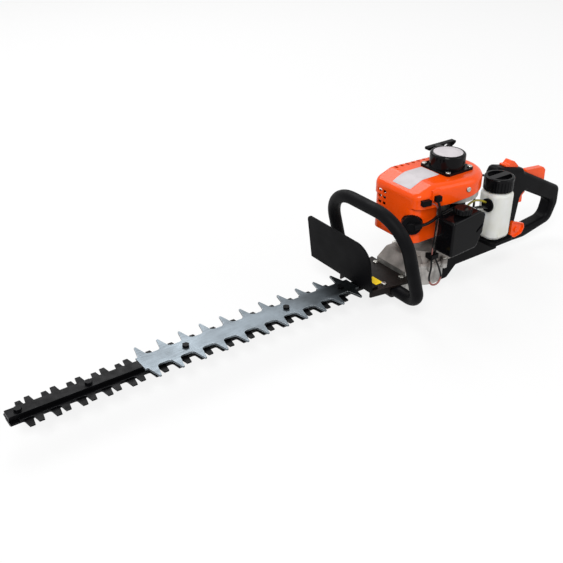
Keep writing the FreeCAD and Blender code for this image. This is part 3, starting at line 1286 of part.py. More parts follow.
def make_spark_plug():
    """Spark plug in the head, with the boot whose disc fills the cover's cut-out."""
    hexed = Part.Face(Part.makePolygon(hexagon(Vector(), d.plug_hex))).extrude(Vector(0, 0,
                                                                                      d.plug_hex_height))
    hexed.Placement = Placement(plug_point(d.plug_seat), Rotation(Vector(0, 0, 1), PLUG_AXIS))
    tip = d.plug_seat + d.plug_hex_height + d.plug_insulator
    plug = plug_rod(d.plug_radius, 0,
                    d.plug_seat).fuse([hexed, plug_rod(d.plug_nose, d.plug_seat, tip)])
    shaped("spark_plug", plug.removeSplitter())
    mouth = d.plug_seat + d.plug_hex_height + d.fit_gap
    hub_end = d.boot_disc_at + d.boot_disc + d.boot_hub
    sleeve = plug_rod(d.plug_hex, mouth, d.boot_disc_at)
    disc = plug_rod(d.boot_radius, d.boot_disc_at, d.boot_disc_at + d.boot_disc)
    hub = plug_rod(d.boot_hub, d.boot_disc_at, hub_end)
    end = plug_point(hub_end)

    def outer_rim(edge):
        near = middle_of(edge).distanceToPoint(end) < 1.1 * d.boot_hub
        return near and edge.Curve.TypeId == "Part::GeomCircle"

    hub = hub.makeFillet(d.boot_hub / 3, edges_where(hub, outer_rim))
    first, second = PLUG_LEAD[0], PLUG_LEAD[1]
    back = (first - second).normalize() * d.boot_arm
    arm = Part.makeCylinder(d.boot_arm_radius, d.boot_arm, first + back, back * -1)
    socket = plug_rod(d.plug_nose + d.run_gap, mouth, tip + d.fit_gap)
    shaped("plug_boot", sleeve.fuse([disc, hub, arm]).cut(socket).removeSplitter())


def make_flywheel():
    """Flywheel with slanted fan blades on its upper face."""
    disc = Part.makeCylinder(d.fan_radius, d.fan_disc, Vector(0, 0, d.fan_z))
    hub = Part.makeCylinder(d.fan_hub, d.fan_height, Vector(0, 0, d.fan_z))
    blades = []
    for index in range(int(d.fan_blades)):
        blade = Part.makeBox(d.fan_radius, d.fan_blade_thick, d.fan_height, Vector(d.fan_hub, 0, d.fan_z))
        blade.rotate(Vector(d.fan_hub, 0, d.fan_z), Vector(0, 0, 1), d.fan_blade_turn)
        blade.rotate(Vector(), Vector(0, 0, 1), 360.0 * index / d.fan_blades)
        blades.append(blade)
    wheel = disc.fuse([hub] + blades)
    limit = Part.makeCylinder(d.fan_radius, d.fan_height, Vector(0, 0, d.fan_z))
    bore = Part.makeCylinder(d.crank_radius + d.run_gap, d.fan_disc, Vector(0, 0, d.fan_z))
    shaped("flywheel_fan", wheel.common(limit).cut(bore).removeSplitter())


def left_wall(distance):
    """Point on the shroud's flat left wall, its heading and its outward normal."""
    corner = Vector(d.cover_front_x, -d.cover_left, 0)
    along = (tangent_point(corner, d.cover_radius, 1) - corner).normalize()
    return corner + along * distance, along, Vector(along.y, -along.x, 0)


def wall_block(distance, half, low, high, start, depth):
    """A block square to the shroud's left wall, out from a depth."""
    at, along, out = left_wall(distance)
    base = at + out * start
    corners = [
        base - along * half + Vector(0, 0, low),
        base + along * half + Vector(0, 0, low),
        base + along * half + Vector(0, 0, high),
        base - along * half + Vector(0, 0, high),
    ]
    return prism([(corner, d.boss_round) for corner in corners], out * depth)


# where screws hold the shroud: degrees round the crank axis
COVER_SCREW_TURNS = (-98, 84, 0)


def cover_screw_places():
    """Where screws pass through the shroud into the fan plate's rim."""
    places = []
    for turn in COVER_SCREW_TURNS:
        out = Vector(math.cos(math.radians(turn)), math.sin(math.radians(turn)), 0)
        places.append((out * d.cover_radius + Vector(0, 0, d.cover_screw_z), out))
    return places


def tangent_point(corner, radius, side):
    """Where a line from a corner touches the circle round the origin."""
    reach = math.hypot(corner.x, corner.y)
    heading = math.atan2(corner.y, corner.x)
    angle = heading + side * math.acos(radius / reach)
    return Vector(radius * math.cos(angle), radius * math.sin(angle), 0)


def cover_upper(inset):
    """Shroud round the fan, drawn out to the flat front, inset by the wall."""
    radius = d.cover_radius - inset
    front = d.cover_front_x + inset
    left = Vector(front, -d.cover_left + inset, 0)
    right = Vector(front, d.cover_right - inset, 0)
    on_left = tangent_point(left, radius, 1)
    on_right = tangent_point(right, radius, -1)
    corner = d.cover_corner - inset
    front_wire = rounded_wire([(on_left, 0), (left, corner), (right, corner), (on_right, 0)],
                              closed=False)
    back = Part.Arc(on_right, Vector(radius, 0, 0), on_left).toShape()
    outline = Part.Face(Part.Wire(Part.__sortEdges__(front_wire.Edges + [back])))
    high = d.cover_top_z - inset
    foot = d.shroud_foot_z - inset
    outline.translate(Vector(0, 0, foot))
    walls = outline.extrude(Vector(0, 0, high - foot))
    slope = d.slope_drop / (d.slope_x - d.cover_front_x)
    edge = d.cover_edge - inset
    low_point = high - slope * (d.slope_x - front)
    far = 2 * d.cover_radius
    side = [
        (Vector(far, 0, 0), 0),
        (Vector(front, 0, 0), 0),
        (Vector(front, 0, low_point), edge),
        (Vector(d.slope_x, 0, high), d.slope_round),
        (Vector(far, 0, high), 0),
    ]
    profile = prism(side, Vector(0, 2 * far, 0))
    profile.translate(Vector(0, -far, 0))
    shell = walls.common(profile)
    rims = edges_where(shell, lambda rim: is_top_rim(rim, high - d.slope_drop - edge, front + edge))
    return shell.makeFillet(edge, rims)


def is_top_rim(rim, low, front):
    """An edge between the side walls and the top, behind the front's rounding."""
    box = rim.BoundBox
    if box.ZMin < low or box.XMax < front + d.fit_gap:
        return False
    middle = middle_of(rim)
    across = abs(middle.y) < d.cover_left - d.cover_corner and middle.x < 0
    return not across


def cover_lower(inset):
    """Skirt round the cylinder, open below and behind."""
    low = d.cover_foot_z - inset
    left = -d.cover_left + d.cover_inset + inset
    right = d.cover_right - d.cover_inset - inset
    corner = d.cover_corner - inset
    outline = [
        (Vector(d.cover_front_x + inset, left, low), corner),
        (Vector(d.cover_rear_x, left, low), 0),
        (Vector(d.cover_rear_x, right, low), 0),
        (Vector(d.cover_front_x + inset, right, low), corner),
    ]
    return prism(outline, Vector(0, 0, d.shroud_foot_z + d.cover_wall - low))


def shroud_rise():
    """What is cut from under the shroud, whose lower edge climbs towards the rear."""
    start, reach = d.rise_x, d.cover_radius + d.cover_wall
    half = 2 * d.cover_radius
    foot = d.shroud_foot_z
    wedge = prism([
        (Vector(start, -half, foot), 0),
        (Vector(reach, -half, foot + d.rise_height), 0),
        (Vector(reach, -half, d.cover_foot_z), 0),
        (Vector(start, -half, d.cover_foot_z), 0),
    ], Vector(0, 2 * half, 0))
    return wedge


def cover_vents():
    """Slots in the front, holes down the right corner and slots along the top's right edge."""
    wall = 4 * d.cover_wall
    vents = []
    right = d.cover_right - d.cover_corner
    top = d.cover_top_z - d.slope_drop - d.cover_edge - d.vent_height
    for index in range(int(d.vent_count)):
        z = top - index * d.vent_pitch
        vents.append(Part.makeBox(wall, d.vent_width, d.vent_height,
                                  Vector(d.cover_front_x - wall / 2, right - d.vent_width, z)))
        vents.append(Part.makeBox(d.side_vent_width, 2 * wall, d.vent_height,
                                  Vector(d.cover_front_x + d.cover_corner, d.cover_right - wall, z)))
    reach = d.cover_edge + d.top_vent_reach
    for index in range(int(d.top_vent_count)):
        x = d.cover_front_x + 2 * d.cover_corner + index * d.top_vent_pitch
        vents.append(Part.makeBox(d.top_vent_width, reach, 2 * d.cover_edge,
                                  Vector(x, d.cover_right - d.cover_inset - reach,
                                         d.cover_top_z - d.cover_edge)))
    return vents


def make_engine_cover():
    """Moulded cover: fan shroud, cylinder skirt, cable boss, cut-outs and vents."""
    outer = cover_upper(0).fuse(cover_lower(0))
    inner = cover_upper(d.cover_wall).fuse(cover_lower(d.cover_wall))
    boss = wall_block(d.boss_along, d.boss_half, d.boss_z - d.boss_half, d.boss_z + d.boss_half,
                      -d.cover_wall / 2, d.boss_depth + d.cover_wall / 2)
    shell = outer.cut(inner).fuse(boss)
    eye = Part.makeCylinder(d.starter_radius - d.starter_wall, 4 * d.cover_wall,
                            Vector(0, 0, d.cover_top_z - 2 * d.cover_wall))
    plug = plug_rod(d.boot_radius + d.boot_gap, 0, 2 * d.boot_disc_at)
    holes = [Part.makeCylinder(d.screw_radius + d.run_gap, 4 * d.cover_wall,
                               Vector(x, y, d.cover_top_z - 2 * d.cover_wall))
             for x, y in starter_screw_places()]
    for at, out in cover_screw_places():
        holes.append(Part.makeCylinder(d.screw_radius + d.run_gap, 4 * d.cover_wall,
                                       at - out * 2 * d.cover_wall, out))
    shell = shell.cut([eye, plug, shroud_rise()] + holes + cover_vents())
    shaped("engine_cover", largest(shell))


def largest(shape):
    """The biggest solid of a cut shape, without slivers."""
    solids = sorted(shape.Solids, key=lambda solid: -solid.Volume)
    if len(solids) > 1 and solids[1].Volume > 0.01 * solids[0].Volume:
        raise ValueError("a cut left a second large solid")
    return solids[0]


def make_cable_ends():
    """Plug in the cover's boss, connector on its wall and rubber boot on the gear case."""
    out = d.boss_depth
    shaped("cable_plug",
           wall_block(d.boss_along, d.cable_plug_half, d.boss_z - d.boss_half - d.boss_round,
                                    d.boss_z, out, d.cable_plug_depth))
    shaped("stop_connector",
           wall_block(d.connector_along, d.connector_half, d.connector_z - d.connector_rise,
                                        d.connector_z + d.connector_rise, 0, d.connector_depth))
    size = (d.wire_boot_length, d.wire_boot_depth, d.wire_boot_height)
    boot = Part.makeBox(*size, Vector(d.wire_boot_x, d.wire_boot_y, d.wire_boot_z))
    outer = edges_where(boot,
                        lambda edge: upright(edge) and middle_of(edge).y < d.wire_boot_y + d.fit_gap)
    boot = boot.makeFillet(d.boss_round, outer)
    case = Part.makeCylinder(d.case_radius, d.case_top_z, Vector(d.gear_x, 0, 0))
    shaped("wire_boot", boot.cut(case))


def make_ignition_coil():
    """Coil that sits against the crankcase under the fan plate."""
    size = (d.coil_length, d.coil_depth, d.coil_height)
    coil = Part.makeBox(*size, Vector(d.coil_x, d.coil_y, d.coil_z))

    def long_outer(edge):
        return edge.BoundBox.XLength > d.coil_length / 2 and middle_of(edge).y < d.coil_y + d.fit_gap

    along = edges_where(coil, long_outer)
    coil = coil.makeFillet(d.boss_round, along)
    shaped("ignition_coil", coil.cut(crankcase_round()))


def starter_top():
    return d.cover_top_z + d.starter_height


# ---------------------------------------------------------------- recoil starter

def make_starter():
    """Recoil starter: flanged cap, its pulley on a post, and all the housing screws."""
    top = d.cover_top_z
    flange = Part.makeBox(2 * d.flange_half_x, 2 * d.flange_half_y, d.flange_thick,
                          Vector(-d.flange_half_x, -d.flange_half_y, top))
    flange = flange.makeFillet(d.flange_round, edges_where(flange, upright))
    seat = top + d.flange_thick
    high = starter_top()
    cap = Part.makeCylinder(d.starter_radius, high - seat, Vector(0, 0, seat))
    cap = cap.makeFillet(d.starter_edge,
                         edges_where(cap, lambda edge: edge.BoundBox.ZMin > high - d.fit_gap))
    dish = Part.makeCylinder(d.starter_radius - d.starter_edge, d.dish_depth,
                             Vector(0, 0, high - d.dish_depth))
    ceiling = high - d.dish_depth - d.starter_wall
    room = Part.makeCylinder(d.starter_radius - d.starter_wall, ceiling - top, Vector(0, 0, top))
    rope = rope_place()
    inside = d.starter_radius - 3 * d.starter_wall
    boss = Part.makeCylinder(d.rope_boss, rope.y - d.fit_gap - inside, Vector(rope.x, inside, rope.z),
                             Vector(0, 1, 0))
    mouth = Part.makeCylinder(d.rope_radius + d.rope_gap, rope.y, Vector(rope.x, 0, rope.z),
                              Vector(0, 1, 0))
    holes = [Part.makeCylinder(d.screw_radius + d.run_gap, d.flange_thick, Vector(x, y, top))
             for x, y in starter_screw_places()]
    post = Part.makeCylinder(d.post_radius, ceiling - top, Vector(0, 0, top))
    housing = flange.fuse([cap, boss]).cut([room, mouth, dish] + holes).fuse(post)
    shaped("starter_housing", housing.removeSplitter())
    pulley_high = ceiling - d.pulley_gap
    pulley_low = pulley_high - d.pulley_height
    pulley = Part.makeCylinder(d.pulley_radius, d.pulley_height, Vector(0, 0, pulley_low))
    groove_low = pulley_low + d.pulley_flange
    groove_height = d.pulley_height - 2 * d.pulley_flange
    groove = Part.makeCylinder(d.pulley_radius, groove_height, Vector(0, 0, groove_low))
    groove = groove.cut(Part.makeCylinder(d.pulley_radius - d.groove_depth, groove_height,
                                          Vector(0, 0, groove_low)))
    bore = Part.makeCylinder(d.post_radius + d.run_gap, d.pulley_height, Vector(0, 0, pulley_low))
    shaped("starter_pulley", pulley.cut([groove, bore]))
    make_housing_screws(seat)


def make_housing_screws(seat):
    """Screws of the starter, the engine cover and the gear case."""
    up = Vector(0, 0, 1)
    screws = []
    for x, y in starter_screw_places():
        screws.append(pan_screw(Vector(x, y, seat), up, d.flange_thick + d.cover_wall))
    for at, out in cover_screw_places():
        screws.append(pan_screw(at, out, d.cover_wall + d.fit_gap + d.rim_wall))
    for x, y in lug_places():
        at = Vector(number(x), number(y), d.case_split_z + d.lug_height)
        screws.append(pan_screw(at, up, d.lug_height + d.lug_depth - d.fit_gap))
    shaped("housing_screws", Part.makeCompound(screws))


def starter_screw_places():
    x = d.flange_half_x - d.flange_round
    y = d.flange_half_y - d.flange_round
    return [(x, y), (-x, y), (-x, -y), (x, -y)]


def rope_place():
    """Where the rope leaves the boss and the grip rests."""
    return Vector(d.rope_x, d.starter_radius + d.rope_reach, starter_top() - d.rope_drop)


def make_starter_grip():
    """D-shaped pull grip that rests against the rope's boss, with the rope's end."""
    rope = rope_place()

    def at(along, up):
        return rope + Vector(along, 0, up)

    bar = d.grip_bar
    tail, nose, drop = d.grip_tail, d.grip_nose, d.grip_drop
    outline = [
        (at(-tail, bar), bar / 2),
        (at(-tail, -bar), bar),
        (at(nose / 3, -bar), bar),
        (at(nose / 2, -drop), 2 * bar),
        (at(nose, -bar / 2), bar),
        (at(nose, bar), bar / 2),
    ]
    window = [
        (at(nose / 3 + bar, -bar / 2), bar / 3),
        (at(nose / 2 + bar / 2, bar - drop + bar / 2), bar / 2),
        (at(nose - bar, bar / 2 - bar / 4), bar / 4),
        (at(nose / 2, bar / 4), bar / 4),
    ]
    width = Vector(0, d.grip_width, 0)
    grip = prism(outline, width).cut(prism(window, width))
    shaped("starter_grip", grip)
    start = d.pulley_radius + d.rope_gap
    shaped("starter_rope",
           Part.makeCylinder(d.rope_radius, rope.y - start, Vector(rope.x, start, rope.z),
                             Vector(0, 1, 0)))


# ---------------------------------------------------------------- carburettor and filter

def filter_outline(inset, y):
    """Side outline of the filter box, inset by the wall."""
    front = d.filter_front_x + inset
    rear = d.filter_rear_x - inset
    high = d.filter_high_z - inset
    low = d.filter_low_z + inset
    lean = d.filter_lean
    return [
        (Vector(front, y, low), d.filter_corner),
        (Vector(rear - 2 * lean, y, low + lean / 2), 2 * d.filter_corner),
        (Vector(rear - lean / 3, y, low + 4 * lean), 2 * d.filter_corner),
        (Vector(rear, y, high - lean), d.filter_corner),
        (Vector(rear - 2 * lean, y, high), d.filter_corner),
        (Vector(front, y, high - lean), d.filter_corner),
    ]


def knob_place():
    """Centre of the filter knob, on top of the cover."""
    x = (d.filter_front_x + d.filter_rear_x) / 2 - d.knob_ahead
    return Vector(x, d.filter_face_y + d.knob_radius, d.filter_high_z)


def make_filter():
    """Filter cover with a slanted recess, its base, and the knob that holds the cover on."""
    depth = d.filter_split_y - d.filter_face_y
    cover = prism(filter_outline(0, d.filter_face_y), Vector(0, depth, 0))
    face = edges_where(cover, lambda edge: edge.BoundBox.YMax < d.filter_face_y + d.run_gap)
    cover = cover.makeFillet(d.filter_edge, face)
    room = prism(filter_outline(d.filter_wall, d.filter_face_y + d.recess_depth + d.filter_wall),
                 Vector(0, depth, 0))
    place = knob_place()
    stud = Part.makeCylinder(d.knob_radius / 2, d.filter_corner + d.filter_wall,
                             place - Vector(0, 0, d.filter_corner + d.filter_wall))
    rear = d.filter_rear_x - d.filter_corner
    middle = (d.filter_low_z + d.filter_high_z) / 2
    recess = prism([
        (Vector(rear - d.recess_length, d.filter_face_y, middle - d.recess_width), d.recess_depth),
        (Vector(rear, d.filter_face_y, middle + d.recess_length / 2), d.recess_depth),
        (Vector(rear, d.filter_face_y, middle + d.recess_length / 2 + d.recess_width), d.recess_depth),
        (Vector(rear - d.recess_length, d.filter_face_y, middle + d.recess_width), d.recess_depth),
    ], Vector(0, d.recess_depth, 0))
    shaped("filter_cover", cover.cut(recess).fuse(stud).cut(room).removeSplitter())
    base = prism(filter_outline(0, d.filter_split_y), Vector(0, d.filter_back_y - d.filter_split_y, 0))
    mouth = Part.makeCylinder(d.carb_bore, d.crankcase_radius - d.filter_face_y,
                              Vector(d.carb_x, d.filter_face_y, d.carb_z),
                              Vector(0, 1, 0))
    shaped("filter_base", base.cut(mouth))
    make_carburettor(mouth)
    knob = Part.makeCylinder(d.knob_radius, d.knob_height, place + Vector(0, 0, d.fit_gap))
    top_z = place.z + d.knob_height
    knob = knob.makeFillet(d.knob_rib, edges_where(knob, lambda edge: edge.BoundBox.ZMin > top_z - d.fit_gap))
    ribs = []
    for index in range(int(d.knob_ribs)):
        rib = Part.makeCylinder(d.knob_rib, d.knob_height - d.knob_rib,
                                place + Vector(d.knob_radius, 0, d.fit_gap))
        rib.rotate(place, Vector(0, 0, 1), 360.0 * index / d.knob_ribs)
        ribs.append(rib)
    shaped("filter_knob", knob.fuse(ribs).removeSplitter())


def choke_pivot():
    """The choke lever's axis, at the front face of its lug on the carburettor."""
    y = d.filter_back_y + d.choke_gap + d.choke_thick + d.fit_gap
    return Vector(d.carb_x + d.carb_half / 2, y, d.carb_z + d.carb_half + d.choke_lug / 2 + d.fit_gap)


def make_carburettor(mouth):
    """Carburettor between the filter base and the cylinder, and the choke lever on its lug."""
    size = 2 * d.carb_half
    body = Part.makeBox(size, d.carb_back_y - d.filter_back_y, size,
                        Vector(d.carb_x - d.carb_half, d.filter_back_y, d.carb_z - d.carb_half))
    neck = Part.makeCylinder(d.carb_neck, -d.carb_back_y, Vector(d.carb_x, d.carb_back_y, d.carb_z),
                             Vector(0, 1, 0))
    fins = Part.makeBox(2 * d.crankcase_radius, 2 * d.fin_half, 2 * d.fin_rise,
                        Vector(d.fin_first_x, -d.fin_half, d.cylinder_z - d.fin_rise))
    neck = largest(neck.cut([crankcase_round(), fins]))
    pivot = choke_pivot()
    lug = Part.makeBox(d.choke_lug, d.choke_lug_depth, d.choke_lug + d.fit_gap,
                       pivot + Vector(-d.choke_lug / 2, 0, -d.choke_lug / 2 - d.fit_gap))
    bore = Part.makeCylinder(d.choke_pin + d.run_gap, d.choke_lug_depth, pivot, Vector(0, 1, 0))
    shaped("carburettor", body.fuse([neck, lug]).cut([mouth, bore]).removeSplitter())
    reach = Vector(d.choke_reach / 2, 0, d.choke_reach)
    half = d.choke_lug / 2
    foot = pivot - Vector(0, d.fit_gap + d.choke_thick, 0)
    lever = prism([
        (foot + Vector(-half, 0, -0.85 * half), 0.8 * half),
        (foot + Vector(half, 0, -0.85 * half), 0.8 * half),
        (foot + reach + Vector(half, 0, -half), half / 2),
        (foot + reach + Vector(half / 2, 0, half), half / 2),
        (foot + Vector(-half, 0, half), half / 2),
    ], Vector(0, d.choke_thick, 0))
    pin = Part.makeCylinder(d.choke_pin, d.choke_lug_depth + d.fit_gap,
                            foot + Vector(0, d.choke_thick, 0), Vector(0, 1, 0))
    shaped("choke_lever", lever.fuse(pin).removeSplitter())


# ---------------------------------------------------------------- fuel tank

def rounded_square(side, corner, z):
    half = side / 2
    points = [Vector(d.tank_x + sx * half, d.tank_y + sy * half, z) for sx,
              sy in ((-1, -1), (1, -1), (1, 1), (-1, 1))]
    return [(point, corner) for point in points]


def make_tank():
    """Blow-moulded tank with rounded edges and a round neck, its cap and its hose grommet."""
    up = Vector(0, 0, 1)
    centre = Vector(d.tank_x, d.tank_y, 0)
    height = d.tank_high_z - d.tank_low_z

    def form(inset):
        side = d.tank_side - 2 * inset
        solid = prism(rounded_square(side, d.tank_corner - inset, d.tank_low_z + inset),
                      up * (height - 2 * inset))
        ends = edges_where(solid, lambda edge: edge.BoundBox.ZLength < d.run_gap)
        solid = solid.makeFillet(d.tank_edge - inset, ends)
        neck = Part.makeCylinder(d.neck_radius - inset, d.neck_height + d.tank_edge,
                                 centre + up * (d.tank_high_z - d.tank_edge))
        return solid.fuse(neck)

    mouth = Part.makeCylinder(d.neck_radius - d.tank_wall, d.neck_height + d.tank_wall,
                              centre + up * (d.tank_high_z - d.tank_wall))
    hole = Part.makeCylinder(d.grommet_stem, 2 * d.tank_wall,
                             grommet_place() - Vector(d.tank_wall / 2, 0, 0), Vector(1, 0, 0))
    shaped("fuel_tank", form(0).cut(form(d.tank_wall)).cut([mouth, hole]))
    make_tank_cap(centre)
    stem = Part.makeCylinder(d.grommet_stem - d.run_gap, d.tank_wall + d.grommet_flange,
                             grommet_place() - Vector(d.grommet_flange, 0, 0),
                             Vector(1, 0, 0))
    flange = Part.makeCylinder(d.grommet_radius, d.grommet_flange,
                               grommet_place() - Vector(d.grommet_flange, 0, 0), Vector(1, 0, 0))
    groove = Part.makeCylinder(d.grommet_groove, d.grommet_flange / 2,
                               grommet_place() - Vector(d.grommet_flange, 0, 0), Vector(1, 0, 0))
    groove = groove.cut(Part.makeCylinder(d.grommet_stem + d.grommet_flange / 2, d.grommet_flange,
                                          grommet_place() - Vector(d.grommet_flange, 0, 0),
                                          Vector(1, 0, 0)))
    shaped("tank_grommet", flange.fuse(stem).cut(groove).removeSplitter())


def make_tank_cap(centre):
    """Fluted cap with two finger hollows either side of a grip bar."""
    low = d.tank_high_z + d.cap_gap
    high = low + d.cap_height
    cap = Part.makeCylinder(d.cap_radius, d.cap_height, centre + Vector(0, 0, low))
    cap = cap.makeFillet(d.cap_edge, edges_where(cap, lambda edge: edge.BoundBox.ZMin > high - d.run_gap))
    hollow = Part.makeCylinder(d.cap_radius - 2 * d.cap_edge, d.cap_hollow,
                               centre + Vector(0, 0, high - d.cap_hollow))
    bar = Part.makeBox(2 * d.cap_radius, d.cap_bar, d.cap_hollow,
                       centre + Vector(-d.cap_radius, -d.cap_bar / 2, high - d.cap_hollow))
    flutes = []
    for index in range(int(d.cap_flutes)):
        angle = 2 * math.pi * index / d.cap_flutes
        rim = Vector(d.cap_radius * math.cos(angle), d.cap_radius * math.sin(angle), low)
        flutes.append(Part.makeCylinder(d.cap_flute, d.cap_height - 2 * d.cap_edge, centre + rim))
    inside = Part.makeCylinder(d.neck_radius + d.fit_gap, d.neck_height - d.cap_gap + d.fit_gap,
                               centre + Vector(0, 0, low))
    shaped("tank_cap", cap.cut([hollow.cut(bar), inside] + flutes))


def grommet_place():
    """Centre of the hose grommet, on the tank's front face."""
    return Vector(d.tank_x - d.tank_side / 2, d.tank_y - d.grommet_across, d.tank_high_z - d.grommet_drop)


# ---------------------------------------------------------------- chassis and rear handle

def make_chassis():
    """Beam from the skid leg to the handle, with a column and a shelf for the tank."""
    across = Vector(0, 2 * d.beam_half, 0)
    y = -d.beam_half
    front, low, top = d.beam_front_x, d.beam_low_z, d.beam_top_z
    beam = prism([
        (Vector(front, y, low), 0),
        (Vector(d.foot_x, y, low), 0),
        (Vector(d.foot_x, y, top), 0),
        (Vector(front, y, top), d.leg_round / 2),
    ], across)
    leg = prism([
        (Vector(front, y, top - d.leg_round), 0),
        (Vector(front, y, low), d.leg_round),
        (Vector(-d.skid_ahead, y, d.skid_toe), d.skid_toe),
        (Vector(-d.skid_ahead, y, 0), d.skid_toe / 2),
        (Vector(d.skid_behind, y, 0), d.leg_round / 2),
        (Vector(d.leg_rear_x, y, low), d.leg_round),
        (Vector(d.leg_rear_x + d.leg_round / 2, y, low + d.skid_toe / 2), 0),
    ], across)
    rear = d.handle_front_x
    column = prism([
        (Vector(d.column_front_x, y, top - d.leg_round / 2), 0),
        (Vector(rear, y, top - d.leg_round / 2), 0),
        (Vector(rear, y, d.tank_low_z), d.leg_round / 2),
        (Vector(d.column_front_x, y, d.tank_low_z), d.leg_round / 2),
    ], across)
    half = d.tank_side / 2 + d.shelf_rim
    shelf = Part.makeBox(2 * half, half - d.tank_y + d.beam_half, d.shelf_thick,
                         Vector(d.tank_x - half, d.tank_y - half, d.tank_low_z - d.shelf_thick))
    shelf = shelf.makeFillet(d.shelf_round,
                             edges_where(shelf,
                                         lambda edge: upright(edge) and middle_of(edge).y < d.tank_y))
    shelf = shelf.common(Part.makeBox(rear - d.tank_x + half, 4 * half, d.tank_low_z,
                                      Vector(d.tank_x - half, d.tank_y - 2 * half, 0)))
    shaped("chassis", beam.fuse([leg, column, shelf, tongue_form(0)]).removeSplitter())
    mounts = [Part.makeCylinder(d.mount_radius, d.case_split_z - top, Vector(x, 0, top))
              for x in (d.mount_first_x, d.mount_first_x + 2.5 * d.mount_radius)]
    shaped("av_mounts", Part.makeCompound(mounts))


def tongue_form(gap):
    """Tongue of the beam that the handle's half shells close on."""
    half = d.handle_half - d.handle_wall - d.tongue_inset
    low = d.beam_low_z + d.tongue_inset
    high = d.beam_top_z - d.tongue_inset
    return Part.makeBox(d.tongue_length + gap, 2 * (half + gap), high - low + 2 * gap,
                        Vector(d.foot_x, -half - gap, low - gap))


def trunnion(place, gap):
    """Pivot pin that ends inside both half shells' walls."""
    x, z = place
    half = d.handle_half - d.handle_wall / 2 + gap
    return Part.makeCylinder(d.pivot_radius + gap, 2 * half, Vector(x, -half, z), Vector(0, 1, 0))


def grip_slope():
    return (d.grip_rear_z - d.grip_front_z) / (d.handle_rear_x - d.grip_front_x)


def grip_top(x):
    """Height of the grip's upper line at a place along it."""
    return d.grip_front_z + grip_slope() * (x - d.grip_front_x)


def box_slope():
    return (d.box_rear_z - d.box_top_z) / (d.box_rear_x - d.handle_front_x)


def box_top(x):
    """Height of the switch box's top at a place along it."""
    return d.box_top_z + box_slope() * (x - d.handle_front_x)


def handle_outline(inset):
    """Side outline of the rear handle, inset by the wall."""
    rear = d.handle_rear_x
    front = d.handle_front_x
    low = d.beam_low_z + d.foot_step
    points = [
        (d.foot_x, low, 0),
        (d.hand_front_x + d.opening_slant, low - 1.5 * d.foot_step, d.belly_round),
        (rear - 0.6 * d.heel_thick, low + 0.6 * d.heel_thick, d.heel_round),
        (rear + d.foot_step, (low + d.grip_rear_z) / 2 + 3 * d.foot_step, d.back_round),
        (rear, d.grip_rear_z, d.tail_round),
        (d.grip_front_x, d.grip_front_z, d.grip_round),
        (d.box_rear_x, d.box_rear_z, d.box_round),
        (front + d.box_lean, box_top(front + d.box_lean), d.box_round),
        (front, d.box_top_z - 2 * d.box_lean, d.box_round),
        (front, d.beam_top_z + d.neck_cut, 0),
        (d.foot_x, d.beam_top_z + 3 * d.foot_step, 0),
    ]
    wire = rounded_wire([(Vector(x, 0, z), radius) for x, z, radius in points])
    return wire if inset == 0 else wire.makeOffset2D(-inset)


def hand_opening(inset):
    """The hand opening's outline, grown by the wall."""
    below = d.grip_thick * math.hypot(1, grip_slope())
    front = d.hand_front_x
    rear = d.handle_rear_x - d.heel_thick
    floor = d.opening_low_z
    top_front = front + d.opening_top_set
    points = [
        (front, floor + d.opening_lip, d.opening_lip_round),
        (front + d.opening_slant, floor - d.opening_dip, d.opening_dip_round),
        (rear - 1.5 * d.opening_dip, floor + d.opening_dip / 2, d.opening_heel_round),
        (rear + d.opening_dip / 4, grip_top(rear) - below, d.opening_rear_round),
        (top_front, grip_top(top_front) - below, d.opening_top_round),
    ]
    wire = rounded_wire([(Vector(x, 0, z), radius) for x, z, radius in points])
    return wire if inset == 0 else wire.makeOffset2D(inset)


def make_handle():
    """Two half shells with a hand opening, hollow for the controls."""
    half = d.handle_half
    whole = moved_prism(handle_outline(0), 2 * half)
    whole = whole.cut(moved_prism(hand_opening(0), 4 * half))

    def outer_rim(edge):
        return abs(abs(middle_of(edge).y) - half) < d.run_gap and not is_foot_rim(edge)

    rims = edges_where(whole, outer_rim)
    whole = whole.makeFillet(d.handle_round, rims)
    depth = 2 * (half - d.handle_wall)
    room = moved_prism(handle_outline(d.handle_wall),
                       depth).cut(moved_prism(hand_opening(d.handle_wall), depth))
    pivots = [trunnion(place, d.run_gap) for place in (trigger_pivot(), lever_pivot())]
    posts = [Part.makeCylinder(d.screw_head + d.handle_wall / 2, 2 * half, Vector(x, -half, z),
                               Vector(0, 1, 0)).common(whole)
             for x, z in handle_screw_places()]
    shell = whole.cut(room).fuse(posts).cut(trigger_slots() + [tongue_form(d.fit_gap),
                                                               latch_pin(d.run_gap)] + pivots)
    sink = half - d.handle_wall / 2 - d.screw_head_height
    holes = []
    for x, z in handle_screw_places():
        holes.append(Part.makeCylinder(d.screw_radius + d.run_gap, half - d.handle_wall + sink,
                                       Vector(x, d.handle_wall - half, z), Vector(0, 1, 0)))
        holes.append(Part.makeCylinder(d.screw_head + d.fit_gap, half, Vector(x, sink, z),
                                       Vector(0, 1, 0)))
    shell = shell.cut(holes)
    reach = d.handle_rear_x
    for label, low_y in (("handle_left", -half), ("handle_right", 0)):
        side = Part.makeBox(reach, half, reach, Vector(d.handle_front_x, low_y, 0))
        shaped(label, largest(shell.common(side)))
    screws = [pan_screw(Vector(x, sink, z), Vector(0, 1, 0), half - d.handle_wall + sink)
              for x, z in handle_screw_places()]
    shaped("handle_screws", Part.makeCompound(screws))


def is_foot_rim(edge):
    """A side edge of the handle's foot, where the beam's end meets it."""
    box = edge.BoundBox
    return abs(box.XMin - d.foot_x) < d.run_gap and abs(box.XMax - d.foot_x) < d.run_gap


